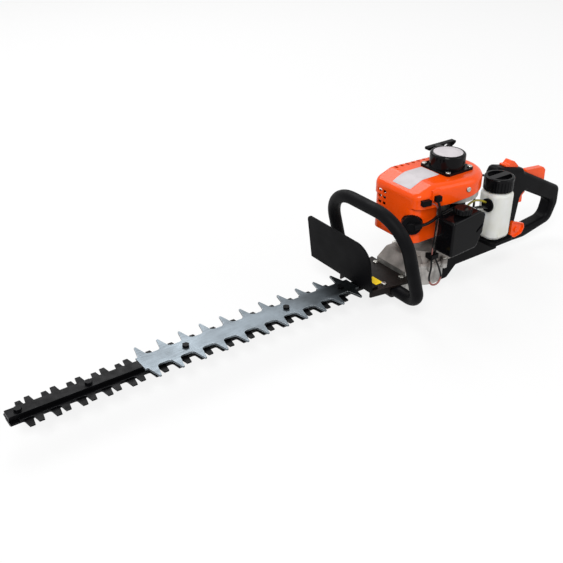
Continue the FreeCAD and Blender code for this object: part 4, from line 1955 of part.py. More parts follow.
def moved_prism(wire, depth):
    """A wire in the middle plane made into a solid, centred on that plane."""
    solid = Part.Face(wire).extrude(Vector(0, depth, 0))
    solid.translate(Vector(0, -depth / 2, 0))
    return solid


def handle_screw_places():
    """Along the handle: box front, box rear, two at the heel, under the opening, in the upright."""
    inside = 2 * d.handle_wall + d.screw_head
    return [
        (d.handle_front_x + inside, d.box_top_z - 2 * inside),
        (d.hand_front_x + d.handle_wall, (d.grip_front_z + d.box_rear_z) / 2 - inside),
        (d.handle_rear_x - inside, d.grip_rear_z - 2 * d.foot_step),
        (d.handle_rear_x - inside, d.opening_low_z + 1.5 * inside),
        (d.hand_front_x + inside, (d.beam_low_z + d.opening_low_z) / 2),
        (d.handle_front_x + inside, d.beam_top_z + d.neck_cut + inside),
    ]


def trigger_pivot():
    return (d.trigger_x, d.trigger_z)


def lever_pivot():
    return (d.lever_x, grip_top(d.lever_x) - d.lever_depth)


def latch_pin(gap):
    """Pin of the latch, in the left half shell's wall."""
    place = Vector(d.latch_x, -d.handle_half - d.fit_gap, d.latch_z)
    return Part.makeCylinder(d.pivot_radius + gap, d.fit_gap + d.handle_wall, place, Vector(0, 1, 0))


def trigger_slots():
    """Openings in the grip for the trigger below and the lever above."""
    half = d.trigger_half + d.fit_gap
    reach = d.trigger_width / 2 + d.trigger_swing
    below = Part.makeBox(2 * reach, 2 * half, d.grip_thick,
                         Vector(d.trigger_x - reach, -half, d.trigger_z - d.grip_thick))
    x, z = lever_pivot()
    above = Part.makeBox(d.lever_length + 2 * d.lever_front, 2 * half, 2 * d.grip_thick,
                         Vector(x - d.lever_front - d.fit_gap, -half, z - 0.6 * d.grip_thick))
    return [below, above]


def make_controls():
    """Trigger under the grip, lever on its top, stop switch on the box and handle latch."""
    half = d.trigger_half
    x, z, w = d.trigger_x, d.trigger_z, d.trigger_width / 2
    length = d.trigger_length
    trigger = prism([
        (Vector(x - w, -half, z + w / 2), w / 2),
        (Vector(x + w, -half, z + w / 2), w / 2),
        (Vector(x + w * 1.3, -half, z - length * 0.4), w / 3),
        (Vector(x + w * 0.4, -half, z - length * 0.55), w / 3),
        (Vector(x + w * 0.6, -half, z - length), w / 3),
        (Vector(x - w * 0.8, -half, z - length * 0.95), w / 3),
        (Vector(x - w * 1.1, -half, z - length * 0.45), w / 2),
    ], Vector(0, 2 * half, 0))
    shaped("throttle_trigger", trigger.fuse(trunnion(trigger_pivot(), 0)).removeSplitter())
    x, z = lever_pivot()
    front, rear = x - d.lever_front, x + d.lever_length
    step, soft = d.lever_front / 2, d.lever_round
    lever = prism([
        (Vector(front, -half, z + 1.4 * step), soft),
        (Vector(front, -half, grip_top(front) + d.lever_lift), 1.5 * soft),
        (Vector(rear, -half, grip_top(rear) + d.lever_tail), 2 * soft),
        (Vector(rear + 1.4 * step, -half, grip_top(rear) + 0.7 * d.lever_tail), 1.5 * soft),
        (Vector(rear + 1.6 * step, -half, grip_top(rear) - step), soft),
        (Vector(rear - step, -half, grip_top(rear) - 1.8 * step), 1.5 * soft),
        (Vector(x - 0.8 * step, -half, z - 0.9 * step), 1.5 * soft),
    ], Vector(0, 2 * half, 0))
    shaped("lockout_lever", lever.fuse(trunnion(lever_pivot(), 0)).removeSplitter())
    make_stop_switch()
    make_latch()


def make_stop_switch():
    """Sliding switch with a thumb peak, on the sloped top of the box."""
    def at(along, up):
        x = d.switch_x + along
        return Vector(x, -d.switch_half, box_top(x) + d.fit_gap + up)

    length, peak, round_off = d.switch_length, d.switch_peak, d.switch_round
    switch = prism([
        (at(0, 0), 0),
        (at(length, 0), 0),
        (at(length, peak / 4), round_off),
        (at(length * 0.65, peak * 0.9), 2 * round_off),
        (at(length * 0.45, peak), 2 * round_off),
        (at(length * 0.25, peak / 3), 3 * round_off),
        (at(0, peak / 4), round_off),
    ], Vector(0, 2 * d.switch_half, 0))
    shaped("stop_switch", switch)


def make_latch():
    """Dished half-disc lever on the handle's side, at the corner of the hand opening."""
    y = -d.handle_half - d.fit_gap - d.latch_thick
    x, z, size = d.latch_x, d.latch_z, d.latch_size

    def outline(inset, depth):
        reach = size - inset
        return prism([
            (Vector(x - 0.94 * reach, y, z + 1.24 * reach), 0.15 * reach),
            (Vector(x + 1.06 * reach, y, z + 0.47 * reach), 0.15 * reach),
            (Vector(x + 1.24 * reach, y, z - 0.12 * reach), 0.3 * reach),
            (Vector(x + 0.88 * reach, y, z - 0.7 * reach), 0.3 * reach),
            (Vector(x - 0.12 * reach, y, z - 0.88 * reach), 0.3 * reach),
            (Vector(x - 0.94 * reach, y, z - 0.59 * reach), 0.15 * reach),
        ], Vector(0, depth, 0))

    dish = outline(0, d.latch_thick).cut(outline(d.latch_rim, d.latch_dish))
    hub = Part.makeCylinder(2 * d.pivot_radius, d.latch_dish, Vector(x, y, z), Vector(0, 1, 0))
    shaped("latch_lever", dish.fuse([hub, latch_pin(0)]).removeSplitter())


# ---------------------------------------------------------------- leads, cables and hoses

PLUG_LEAD = [
    Vector(-94, -45, 142),
    Vector(-85, -47.6, 143.3),
    Vector(-73, -48, 145.6),
    Vector(-60, -46, 148.6),
    Vector(-45, -44.5, 151.5),
    Vector(-31, -44, 153),
    Vector(-22, -44, 154.5),
]
STOP_CABLE = [
    Vector(-70.5, -54.4, 181),
    Vector(-66, -55.5, 169),
    Vector(-61, -53, 158),
    Vector(-58.3, -51.8, 146),
    Vector(-57.3, -50.8, 131),
    Vector(-57, -48.5, 114),
    Vector(-56.5, -46.5, 98),
    Vector(-56, -46, 82),
]
STOP_WIRES = [
    Vector(-80.3, -49.3, 178.5),
    Vector(-73, -50.3, 175.5),
    Vector(-66, -51.2, 167.5),
    Vector(-63.5, -51.6, 151),
    Vector(-63.5, -48.5, 132),
    Vector(-63, -47, 113),
    Vector(-63, -46, 96),
    Vector(-63, -46, 82),
]
WIRE_LOOP = [
    Vector(-63, -46, 74),
    Vector(-65, -49.5, 60),
    Vector(-70, -50.5, 42),
    Vector(-63, -50.5, 27),
    Vector(-48, -50.5, 24),
    Vector(-40, -50.5, 36),
    Vector(-48, -49.5, 57),
    Vector(-55, -46, 74),
]
FUEL_HOSE = [
    Vector(59, -46.5, 132.5),
    Vector(46, -47.5, 138),
    Vector(30, -47.5, 141.5),
    Vector(13, -48.5, 142),
    Vector(-2, -50, 134),
    Vector(-13, -50.5, 127),
    Vector(-23, -50.5, 122),
]
RETURN_HOSE = [
    Vector(59, -41, 140.5),
    Vector(46, -40, 147),
    Vector(30, -40, 151.5),
    Vector(14, -42.5, 149),
    Vector(3, -46, 144.5),
    Vector(-10, -47.5, 138.7),
    Vector(-23, -48, 134.5),
]
THROTTLE_CABLE = [
    Vector(112, 0, 156),
    Vector(100, -2, 164),
    Vector(82, -5, 172),
    Vector(66, -10, 166),
    Vector(55, -18, 150),
    Vector(46, -28, 132),
    Vector(28, -38, 120),
    Vector(2, -45, 115),
    Vector(-23, -47, 112),
]


def make_cords():
    """Leads, cables and hoses; each ends on the face of what it plugs into."""
    cord_along("plug_lead", PLUG_LEAD, d.plug_lead_radius)
    cord_along("stop_cable", STOP_CABLE, d.stop_cable_radius)
    cord_along("stop_wires", STOP_WIRES, d.stop_wires_radius)
    cord_along("wire_loop", WIRE_LOOP, d.wire_loop_radius)
    cord_along("fuel_hose", FUEL_HOSE, d.hose_radius)
    cord_along("return_hose", RETURN_HOSE, d.return_hose_radius)
    cord_along("throttle_cable", THROTTLE_CABLE, d.throttle_cable_radius)


# ---------------------------------------------------------------- build, check and write

def check_and_write():
    doc.recompute()
    for thing in doc.Objects:
        if "Invalid" in thing.State or "Error" in thing.State:
            raise ValueError("%s failed: %s" % (thing.Label, thing.State))
    for node in NODES:
        if node.Shape.isNull() or not node.Shape.isValid():
            raise ValueError("bad shape: " + node.Label)
    os.makedirs("parts", exist_ok=True)
    for node in NODES:
        node.Shape.exportStep("parts/%s.step" % node.Label)
    print(len(NODES), "nodes written")


make_tooth_guard()
make_support_bar()
make_lower_bar()
make_blades()
make_blade_bolts()
make_bracket()
make_hand_guard()
make_loop_handle()
make_loop_clamps()
make_bracket_screws()
make_gear_case_lower()
make_gear_case_upper()
make_drive_gear()
make_clutch_drum()
make_crankshaft()
make_engine()

make_spark_plug()
make_flywheel()
make_engine_cover()
make_cable_ends()
make_ignition_coil()
make_starter()

make_starter_grip()
make_filter()
make_tank()
make_chassis()
make_handle()
make_controls()
make_cords()
check_and_write()
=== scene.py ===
import math

import bpy
import numpy as np
from bpy.props import FloatProperty, FloatVectorProperty, PointerProperty, StringProperty
from bpy.types import Operator, Panel, PropertyGroup
from mathutils import Euler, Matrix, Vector


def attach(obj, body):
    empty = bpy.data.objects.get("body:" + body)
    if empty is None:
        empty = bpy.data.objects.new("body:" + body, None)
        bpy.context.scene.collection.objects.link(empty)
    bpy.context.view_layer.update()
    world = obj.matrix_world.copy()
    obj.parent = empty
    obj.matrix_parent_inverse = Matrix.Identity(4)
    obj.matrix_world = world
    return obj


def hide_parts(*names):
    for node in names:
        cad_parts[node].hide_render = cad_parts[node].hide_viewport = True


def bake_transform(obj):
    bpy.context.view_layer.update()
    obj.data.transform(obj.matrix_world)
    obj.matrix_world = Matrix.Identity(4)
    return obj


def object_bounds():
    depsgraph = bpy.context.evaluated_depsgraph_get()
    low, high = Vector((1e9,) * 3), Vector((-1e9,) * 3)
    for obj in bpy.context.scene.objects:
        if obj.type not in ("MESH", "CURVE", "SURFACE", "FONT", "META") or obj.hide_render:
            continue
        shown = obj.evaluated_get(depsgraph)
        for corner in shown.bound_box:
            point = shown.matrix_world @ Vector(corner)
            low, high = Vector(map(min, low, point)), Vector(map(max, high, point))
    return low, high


bl_info = {
    "name": "Hedge Trimmer Finish",
    "version": (1, 0, 0),
    "blender": (4, 5, 0),
    "location": "View3D > Sidebar > Trimmer",
    "description": "Dresses the packed hedge trimmer with its finishes, labels and leads",
    "category": "Object",
}

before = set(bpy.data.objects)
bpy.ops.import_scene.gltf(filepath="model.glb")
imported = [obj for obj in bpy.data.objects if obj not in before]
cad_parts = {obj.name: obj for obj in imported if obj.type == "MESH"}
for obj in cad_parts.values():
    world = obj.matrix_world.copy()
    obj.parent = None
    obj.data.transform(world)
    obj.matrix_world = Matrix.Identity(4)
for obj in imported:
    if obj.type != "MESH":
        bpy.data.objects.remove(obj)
CAD_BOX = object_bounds()

MM = 0.001
MIX_UNDER, MIX_OVER, MIX_COLOUR = 6, 7, 2   # the Mix node's two colour inputs and its colour output
SLEEVE_FADE = 4 * MM                        # length over which a sleeve's end gives way to bare wire
NOWHERE = 1.0                               # a height above the whole machine
LABEL_LIFT = 0.02 * MM                      # air under the round label, so that it isn't in the cap's skin

# Each lamp's name, place, width in metres and power in watts.
LAMPS = (
    ("key_light", (-2.4, -2.0, 3.2), 1.6, 135),
    ("fill_light", (1.4, -2.0, 1.4), 1.8, 18),
    ("back_light", (0.2, 2.0, 2.2), 1.8, 40),
)


# ---------------------------------------------------------------- settings

class TrimmerColours(PropertyGroup):
    """Colours of the machine's finishes, as sRGB hex values."""

    cover: StringProperty(name="Cover", description="Moulded engine cover and controls", default="#F04E06")
    black: StringProperty(name="Black plastic", description="Handle, filter and starter mouldings",
                          default="#0B0B0D")
    bracket: StringProperty(name="Bracket", description="Black-brown paint of the bracket", default="#150F0D")
    rubbed: StringProperty(name="Rubbed paint", description="Bracket paint along its rubbed edges",
                           default="#6E6A66")
    rubber: StringProperty(name="Grip", description="Rubber sleeve of the loop handle", default="#0D0D0F")
    guard: StringProperty(name="Tooth guard", description="Zinc-plated tooth guard", default="#6F787F")
    # Near-white of the guard's cut edges: partly their own colour, partly a painted highlight.
    guard_edge: StringProperty(name="Guard edges", description="Bright cut edges of the tooth guard",
                               default="#E6EAEE")
    blade: StringProperty(name="Blades", description="Blackened blade steel", default="#08080A")
    bar: StringProperty(name="Guide bars", description="Black oxide of the bars and bolts", default="#09090B")
    muffler: StringProperty(name="Muffler", description="Heat-proof enamel and bare inner steel",
                            default="#1A1816")
    ground: StringProperty(name="Ground edges", description="Ground edges of the dark steel",
                           default="#8C8E92")
    casting: StringProperty(name="Castings", description="Die-cast gear case and engine", default="#B7B4B0")
    oiled: StringProperty(name="Oiled castings", description="Upper gear case and cylinder",
                          default="#A39C97")
    screw: StringProperty(name="Screws", description="Zinc plating of the screws", default="#C8C6C0")
    screw_dull: StringProperty(name="Dull screws", description="Zinc plating where it has dulled",
                               default="#8E8C86")
    tank: StringProperty(name="Tank", description="Natural polyethylene of the fuel tank", default="#E2E1DA")
    tank_stain: StringProperty(name="Tank stain", description="Polyethylene where fuel has stained it",
                               default="#D6D4C6")
    hose: StringProperty(name="Return hose", description="Clear vinyl hose, yellowed by fuel",
                         default="#C2B23C")
    jacket: StringProperty(name="Cable jackets", description="Rubber and vinyl of the black cables",
                           default="#0C0C0D")
    wires: StringProperty(name="Thin wires", description="Faded red sleeve of the thin wires",
                          default="#8E5A55")
    label: StringProperty(name="Blank labels", description="Plain label stock", default="#C6C1C4")
    patch: StringProperty(name="Patch", description="Plain patch on the bracket", default="#E9C81F")


class TrimmerSizes(PropertyGroup):
    """Sizes of what is dressed onto the frame."""

    camera_place: FloatVectorProperty(
        name="Camera", description="Where the camera stands", default=(-0.9245, -0.8336, 0.6909),
        subtype="TRANSLATION", unit="LENGTH")
    camera_pitch: FloatProperty(
        name="Camera pitch", description="Tilt of the camera from straight down",
        default=math.radians(60.01), subtype="ANGLE", unit="ROTATION")
    camera_turn: FloatProperty(
        name="Camera turn", description="Turn of the camera about the upright axis",
        default=math.radians(-35.553), subtype="ANGLE", unit="ROTATION")
    camera_lens: FloatProperty(
        name="Lens", description="Focal length", default=51.2, unit="CAMERA")
    vent_rib_low: FloatVectorProperty(
        name="Vent rib foot", description="Low corner of the rib that parts the front vents",
        default=(-0.1037, 0.0347, 0.1415), subtype="TRANSLATION", unit="LENGTH")
    vent_rib_high: FloatVectorProperty(
        name="Vent rib head", description="High corner of the rib that parts the front vents",
        default=(-0.1020, 0.0383, 0.1790), subtype="TRANSLATION", unit="LENGTH")
    label_thick: FloatProperty(
        name="Label thickness", description="Thickness of label stock", default=0.00025,
        subtype="DISTANCE", unit="LENGTH")
    label_bow: FloatProperty(
        name="Label bow", description="How far a sheet label's corners are drawn in", default=0.0006,
        subtype="DISTANCE", unit="LENGTH")
    label_seat: FloatProperty(
        name="Label seat", description="Depth of the seat in the starter cap's top", default=0.0006,
        subtype="DISTANCE", unit="LENGTH")
    round_label: FloatProperty(
        name="Round label", description="Radius of the starter cap's label", default=0.0238,
        subtype="DISTANCE", unit="LENGTH")
    sheet_front: FloatProperty(
        name="Sheet label front", description="Front edge of the cover's label", default=-0.0945,
        subtype="DISTANCE", unit="LENGTH")
    sheet_rear: FloatProperty(
        name="Sheet label rear", description="Rear edge of the cover's label", default=-0.0315,
        subtype="DISTANCE", unit="LENGTH")
    sheet_left: FloatProperty(
        name="Sheet label left", description="Left edge of the cover's label", default=-0.0155,
        subtype="DISTANCE", unit="LENGTH")
    sheet_right: FloatProperty(
        name="Sheet label right", description="Right edge of the cover's label", default=0.0255,
        subtype="DISTANCE", unit="LENGTH")
    patch_front: FloatProperty(
        name="Patch front", description="Front edge of the bracket's patch", default=-0.1655,
        subtype="DISTANCE", unit="LENGTH")
    patch_rear: FloatProperty(
        name="Patch rear", description="Rear edge of the bracket's patch", default=-0.149,
        subtype="DISTANCE", unit="LENGTH")
    patch_left: FloatProperty(
        name="Patch left", description="Left edge of the bracket's patch", default=-0.0265,
        subtype="DISTANCE", unit="LENGTH")
    patch_right: FloatProperty(
        name="Patch right", description="Right edge of the bracket's patch", default=-0.003,
        subtype="DISTANCE", unit="LENGTH")
    wires_bare_above: FloatProperty(
        name="Wires bare above", description="Height at which the thin wires go into their sleeve",
        default=0.166, subtype="DISTANCE", unit="LENGTH")
    wires_bare_below: FloatProperty(
        name="Wires bare below", description="Height at which the thin wires leave their sleeve",
        default=0.092, subtype="DISTANCE", unit="LENGTH")
    loop_bare_below: FloatProperty(
        name="Loop bare below", description="Height below which the wire loop is bare", default=0.034,
        subtype="DISTANCE", unit="LENGTH")
    rope_lay: FloatProperty(
        name="Rope lay", description="Length in which the rope's strands turn once", default=0.009,
        subtype="DISTANCE", unit="LENGTH")


def colours():
    """The finishes' colours, as the user has set them."""
    return bpy.context.scene.trimmer_colours


def sizes():
    """The dressed pieces' sizes, as the user has set them."""
    return bpy.context.scene.trimmer_sizes


# ---------------------------------------------------------------- material helpers

def linear(hex_colour):
    """An sRGB hex value as linear red, green, blue and alpha."""
    parts = [int(hex_colour[i:i + 2], 16) / 255 for i in (1, 3, 5)]
    light = [c / 12.92 if c <= 0.04045 else ((c + 0.055) / 1.055) ** 2.4 for c in parts]
    return (*light, 1.0)


def darker(hex_colour, share):
    """This share of a colour's light."""
    red, green, blue, alpha = linear(hex_colour)
    return (red * share, green * share, blue * share, alpha)


def per_mm(size_mm):
    """Texture scale whose pattern repeats about once in this many millimetres."""
    return 1000.0 / size_mm


def fill(tree, node, inputs):
    """Sets a node's inputs, each to a value or to another node's output."""
    for name, value in inputs.items():
        if isinstance(value, bpy.types.NodeSocket):
            tree.links.new(value, node.inputs[name])
        else:
            node.inputs[name].default_value = value
    return node


def add(tree, kind, inputs=None, **settings):
    """Adds one node with its settings and inputs."""
    node = tree.nodes.new(kind)
    for name, value in settings.items():
        setattr(node, name, value)
    return fill(tree, node, inputs or {})


def blank_material(name):
    """A new node material with only its shader and output."""
    material = bpy.data.materials.new(name)
    material.use_nodes = True
    tree = material.node_tree
    tree.nodes.clear()
    shader = add(tree, "ShaderNodeBsdfPrincipled")
    add(tree, "ShaderNodeOutputMaterial", {"Surface": shader.outputs["BSDF"]})
    return material, tree, shader


def clouds(tree, size_mm, detail):
    """Soft noise over the object, in clouds or grains this many millimetres wide."""
    place = add(tree, "ShaderNodeTexCoord")
    noise = add(tree, "ShaderNodeTexNoise",
                {"Vector": place.outputs["Object"], "Scale": per_mm(size_mm), "Detail": detail})
    return noise.outputs["Fac"]


def wandering(tree, size_mm, detail, low, high, start=0.3, stop=0.7):
    """Values from low to high that wander with the clouds, whose own values from start to stop count."""
    mapped = add(tree, "ShaderNodeMapRange",
                 {"Value": clouds(tree, size_mm, detail), "From Min": start, "From Max": stop,
                  "To Min": low, "To Max": high})
    return mapped.outputs["Result"]


def mottled(tree, size_mm, detail, first, second, start=0.3, stop=0.7):
    """A colour that wanders from the first to the second with the clouds."""
    share = wandering(tree, size_mm, detail, 0.0, 1.0, start, stop)
    blend = add(tree, "ShaderNodeMix", {"Factor": share, MIX_UNDER: first, MIX_OVER: second},
                data_type="RGBA")
    return blend.outputs[MIX_COLOUR]


# Paler colour along sharp edges: worn paint on the bracket, ground steel on the blades, and on the tooth guard
# partly a painted highlight.
def edge_wear_and_highlight(tree, under, over, radius_mm, strength):
    """The first colour on flat faces, with the second over it along sharp edges, up to this strength."""
    soft = add(tree, "ShaderNodeBevel", {"Radius": radius_mm * MM}, samples=6)
    plain = add(tree, "ShaderNodeNewGeometry")
    dot = add(tree, "ShaderNodeVectorMath", {0: soft.outputs["Normal"], 1: plain.outputs["Normal"]},
              operation="DOT_PRODUCT")
    line = add(tree, "ShaderNodeMapRange", {"Value": dot.outputs["Value"], "From Min": 0.75, "From Max": 0.97,
                                            "To Min": 1.0, "To Max": 0.0})
    share = add(tree, "ShaderNodeMath", {0: line.outputs["Result"], 1: strength}, operation="MULTIPLY")
    blend = add(tree, "ShaderNodeMix", {"Factor": share.outputs[0], MIX_UNDER: under, MIX_OVER: over},
                data_type="RGBA")
    return blend.outputs[MIX_COLOUR]


def relief(tree, height, strength, depth_mm, edge_mm=0.0):
    """A pattern that stands out of the surface, over edges softened by a small radius."""
    inputs = {"Height": height, "Strength": strength, "Distance": depth_mm * MM}
    if edge_mm:
        soft = add(tree, "ShaderNodeBevel", {"Radius": edge_mm * MM}, samples=6)
        inputs["Normal"] = soft.outputs["Normal"]
    return add(tree, "ShaderNodeBump", inputs).outputs["Normal"]


# ---------------------------------------------------------------- materials
# A real mould's or casting's grain is about 0.1 to 0.3 mm wide. It is drawn 0.7 to 2.5 mm wide here,
# which is as coarse as it has to be to show on the whole machine.

def moulded_orange():
    """Injection-moulded ABS: warm orange, clouded a little, under a thin clear gloss."""
    material, tree, shader = blank_material("moulded_orange_abs")
    cover = colours().cover
    fill(tree, shader, {
        "Base Color": mottled(tree, 40, 3, linear(cover), darker(cover, 0.86)),
        "Roughness": wandering(tree, 1.4, 2, 0.24, 0.34),
        "IOR": 1.52,
        "Specular IOR Level": 0.08,
        "Coat Weight": 0.26,
        "Coat Roughness": 0.12,
        "Normal": relief(tree, clouds(tree, 1.4, 2), 0.05, 0.2, 0.8),
    })
    return material


def moulded_black(name="moulded_black_nylon", rough=0.42, grain_mm=1.1, strength=0.22, shine=0.04, coat=0.0):
    """Glass-filled nylon with a fine spark-eroded grain: dull black with a soft sheen."""
    material, tree, shader = blank_material(name)
    black = colours().black
    fill(tree, shader, {
        "Base Color": mottled(tree, 30, 3, linear(black), darker(black, 0.7)),
        "Roughness": wandering(tree, 30, 3, rough - 0.05, rough + 0.06),
        "IOR": 1.53,
        "Specular IOR Level": shine,
        "Coat Weight": coat,
        "Coat Roughness": 0.06,
        "Normal": relief(tree, clouds(tree, grain_mm, 3), strength, 0.25, 0.7),
    })
    return material


def foam_rubber():
    """Closed-cell rubber sleeve, dipped and matt: a close pebble with dull highlights."""
    material, tree, shader = blank_material("foam_rubber_sleeve")
    rubber = colours().rubber
    place = add(tree, "ShaderNodeTexCoord")
    cells = add(tree, "ShaderNodeTexVoronoi", {"Vector": place.outputs["Object"], "Scale": per_mm(1.6)})
    fill(tree, shader, {
        "Base Color": mottled(tree, 25, 3, linear(rubber), darker(rubber, 0.7)),
        "Roughness": wandering(tree, 25, 3, 0.46, 0.6),
        "IOR": 1.5,
        "Specular IOR Level": 0.06,
        "Normal": relief(tree, cells.outputs["Distance"], 0.12, 0.2),
    })
    return material


def plated_guard():
    """Zinc-plated pressed steel: bluish grey, darkened along its middle more and more towards the gear case.

    Long rolling marks run along it, its teeth stay pale but for the last ones, and its cut edges are bright,
    their near-white partly a painted highlight.
    """
    material, tree, shader = blank_material("zinc_plated_steel")
    guard = colours().guard
    place = add(tree, "ShaderNodeTexCoord").outputs["Object"]
    axes = add(tree, "ShaderNodeSeparateXYZ", {"Vector": place})
    stretch = add(tree, "ShaderNodeMapping", {"Vector": place, "Scale": (0.08, 1.0, 1.0)})
    marks = add(tree, "ShaderNodeTexNoise",
                {"Vector": stretch.outputs["Vector"], "Scale": per_mm(1.5), "Detail": 3.0}).outputs["Fac"]
    rough = add(tree, "ShaderNodeMapRange",
                {"Value": marks, "From Min": 0.3, "From Max": 0.7, "To Min": 0.3, "To Max": 0.46})

    # The darkening starts in mid-blade, 11 mm to 21 mm from the centre line, and covers all near the gear
    # case.
    along = add(tree, "ShaderNodeMapRange", {"Value": axes.outputs["X"], "From Min": -0.32, "From Max": -0.225,
                                             "To Min": 0.0, "To Max": 0.95})
    across = add(tree, "ShaderNodeMath", {0: axes.outputs["Y"]}, operation="ABSOLUTE")
    middle = add(tree, "ShaderNodeMapRange", {"Value": across.outputs[0], "From Min": 0.011, "From Max": 0.021,
                                              "To Min": 1.0, "To Max": 0.1})
    root = add(tree, "ShaderNodeMapRange", {"Value": axes.outputs["X"], "From Min": -0.245, "From Max": -0.215,
                                            "To Min": 0.0, "To Max": 0.95})
    band = add(tree, "ShaderNodeMath", {0: along.outputs["Result"], 1: middle.outputs["Result"]},
               operation="MULTIPLY")
    reach = add(tree, "ShaderNodeMath", {0: band.outputs[0], 1: root.outputs["Result"]}, operation="MAXIMUM")
    # Share by which the guard is darkened to near black, along its middle and by the gear case.
    dark_share = add(tree, "ShaderNodeMath", {0: reach.outputs[0], 1: wandering(tree, 38, 4, 0.75, 1.0)},
              operation="MULTIPLY")

    plain = mottled(tree, 38, 4, linear(guard), darker(guard, 0.55))
    darkened = add(tree, "ShaderNodeMix", {"Factor": dark_share.outputs[0], MIX_UNDER: plain,
                                       MIX_OVER: darker(guard, 0.06)}, data_type="RGBA")
    fill(tree, shader, {
        # The guard's cut edges are lightened to near white, partly as a painted highlight.
        "Base Color": edge_wear_and_highlight(tree, darkened.outputs[MIX_COLOUR], linear(colours().guard_edge), 0.7, 0.6),
        "Metallic": 0.85,
        "Roughness": rough.outputs["Result"],
        "Normal": relief(tree, marks, 0.12, 0.15, 0.4),
    })
    return material


def blackened_steel(name, hex_colour, bright):
    """Hardened steel with a black oxide skin, ground bright along its edges."""
    material, tree, shader = blank_material(name)
    skin = mottled(tree, 12, 4, linear(hex_colour), darker(hex_colour, 0.55))
    fill(tree, shader, {
        "Base Color": edge_wear_and_highlight(tree, skin, linear(colours().ground), 0.5, bright),
        "Metallic": 0.25,
        "Specular IOR Level": 0.06,
        "Roughness": wandering(tree, 12, 4, 0.34, 0.5),
        "Normal": relief(tree, clouds(tree, 1.2, 2), 0.1, 0.15, 0.3),
    })
    return material


def painted_steel():
    """Pressed steel under thin black-brown paint: low orange-peel ripple, paler where edges are rubbed."""
    material, tree, shader = blank_material("painted_bracket_steel")
    bracket = colours().bracket
    paint = mottled(tree, 26, 4, linear(bracket), darker(bracket, 0.6))
    fill(tree, shader, {
        "Base Color": edge_wear_and_highlight(tree, paint, linear(colours().rubbed), 0.5, 0.25),
        "Roughness": wandering(tree, 26, 4, 0.34, 0.5),
        "Specular IOR Level": 0.12,
        "Normal": relief(tree, clouds(tree, 2.6, 2), 0.1, 0.2, 0.4),
    })
    return material


def cast_aluminium(name, hex_colour):
    """Die-cast aluminium, shot-blasted: pale grey with a sandy grain and dirtier clouds."""
    material, tree, shader = blank_material(name)
    fill(tree, shader, {
        "Base Color": mottled(tree, 22, 4, linear(hex_colour), darker(hex_colour, 0.45)),
        "Metallic": 0.75,
        "Roughness": wandering(tree, 1.0, 3, 0.38, 0.55),
        "Normal": relief(tree, clouds(tree, 1.0, 3), 0.3, 0.25, 0.8),
    })
    return material


def plated_screw():
    """Zinc-plated fastener steel: bright, with a fine turned grain."""
    material, tree, shader = blank_material("zinc_plated_fastener")
    fill(tree, shader, {
        "Base Color": mottled(tree, 3, 3, linear(colours().screw), linear(colours().screw_dull)),
        "Metallic": 1.0,
        "Roughness": wandering(tree, 3, 3, 0.22, 0.4),
        "Normal": relief(tree, clouds(tree, 3, 3), 0.05, 0.1, 0.3),
    })
    return material


def milky_tank():
    """Blow-moulded natural polyethylene: milky, waxy, and lit from within."""
    material, tree, shader = blank_material("blow_moulded_polyethylene")
    fill(tree, shader, {
        "Base Color": mottled(tree, 30, 3, linear(colours().tank), linear(colours().tank_stain)),
        "Roughness": 0.38,
        "IOR": 1.51,
        "Subsurface Weight": 0.6,
        "Subsurface Radius": (0.012, 0.011, 0.009),
        "Subsurface Scale": 1.0,
        "Normal": relief(tree, clouds(tree, 2.5, 2), 0.08, 0.3, 0.8),
    })
    return material


def cable_jacket(name, hex_colour, rough=0.4):
    """Extruded rubber or vinyl jacket: even colour, a soft sheen and a faint grain."""
    material, tree, shader = blank_material(name)
    fill(tree, shader, {
        "Base Color": mottled(tree, 8, 3, linear(hex_colour), darker(hex_colour, 0.7)),
        "Roughness": wandering(tree, 8, 3, rough - 0.06, rough + 0.08),
        "Specular IOR Level": 0.15,
        "Normal": relief(tree, clouds(tree, 0.7, 2), 0.1, 0.1),
    })
    return material


def sleeved_wires(name, bare_below, bare_above=NOWHERE):
    """Thin wires in a black sleeve, with faded red insulation below one height and above another."""
    material, tree, shader = blank_material(name)
    place = add(tree, "ShaderNodeTexCoord")
    height = add(tree, "ShaderNodeSeparateXYZ", {"Vector": place.outputs["Object"]}).outputs["Z"]
    upper = add(tree, "ShaderNodeMapRange", {
        "Value": height, "From Min": bare_above,
        "From Max": bare_above + SLEEVE_FADE, "To Min": 0.0, "To Max": 1.0})
    lower = add(tree, "ShaderNodeMapRange", {
        "Value": height, "From Min": bare_below,
        "From Max": bare_below + SLEEVE_FADE, "To Min": 1.0, "To Max": 0.0})
    bare = add(tree, "ShaderNodeMath", {0: upper.outputs["Result"], 1: lower.outputs["Result"]},
               operation="MAXIMUM")
    insulation = add(tree, "ShaderNodeMix", {"Factor": bare.outputs[0], MIX_UNDER: linear(colours().jacket),
                                             MIX_OVER: linear(colours().wires)}, data_type="RGBA")
    fill(tree, shader, {
        "Base Color": insulation.outputs[MIX_COLOUR],
        "Roughness": wandering(tree, 6, 3, 0.28, 0.42),
        "Specular IOR Level": 0.2,
        "Normal": relief(tree, clouds(tree, 6, 3), 0.1, 0.1),
    })
    return material


def clear_hose():
    """Extruded vinyl tube yellowed by fuel: half clear, wet-looking, with darker fuel inside."""
    material, tree, shader = blank_material("clear_vinyl_hose")
    hose = colours().hose
    fill(tree, shader, {
        "Base Color": mottled(tree, 14, 2, linear(hose), darker(hose, 0.6)),
        "Roughness": 0.14,
        "IOR": 1.53,
        "Transmission Weight": 0.35,
        "Subsurface Weight": 0.3,
        "Subsurface Radius": (0.003, 0.003, 0.001),
        "Subsurface Scale": 1.0,
        "Normal": relief(tree, clouds(tree, 14, 2), 0.05, 0.2),
    })
    return material


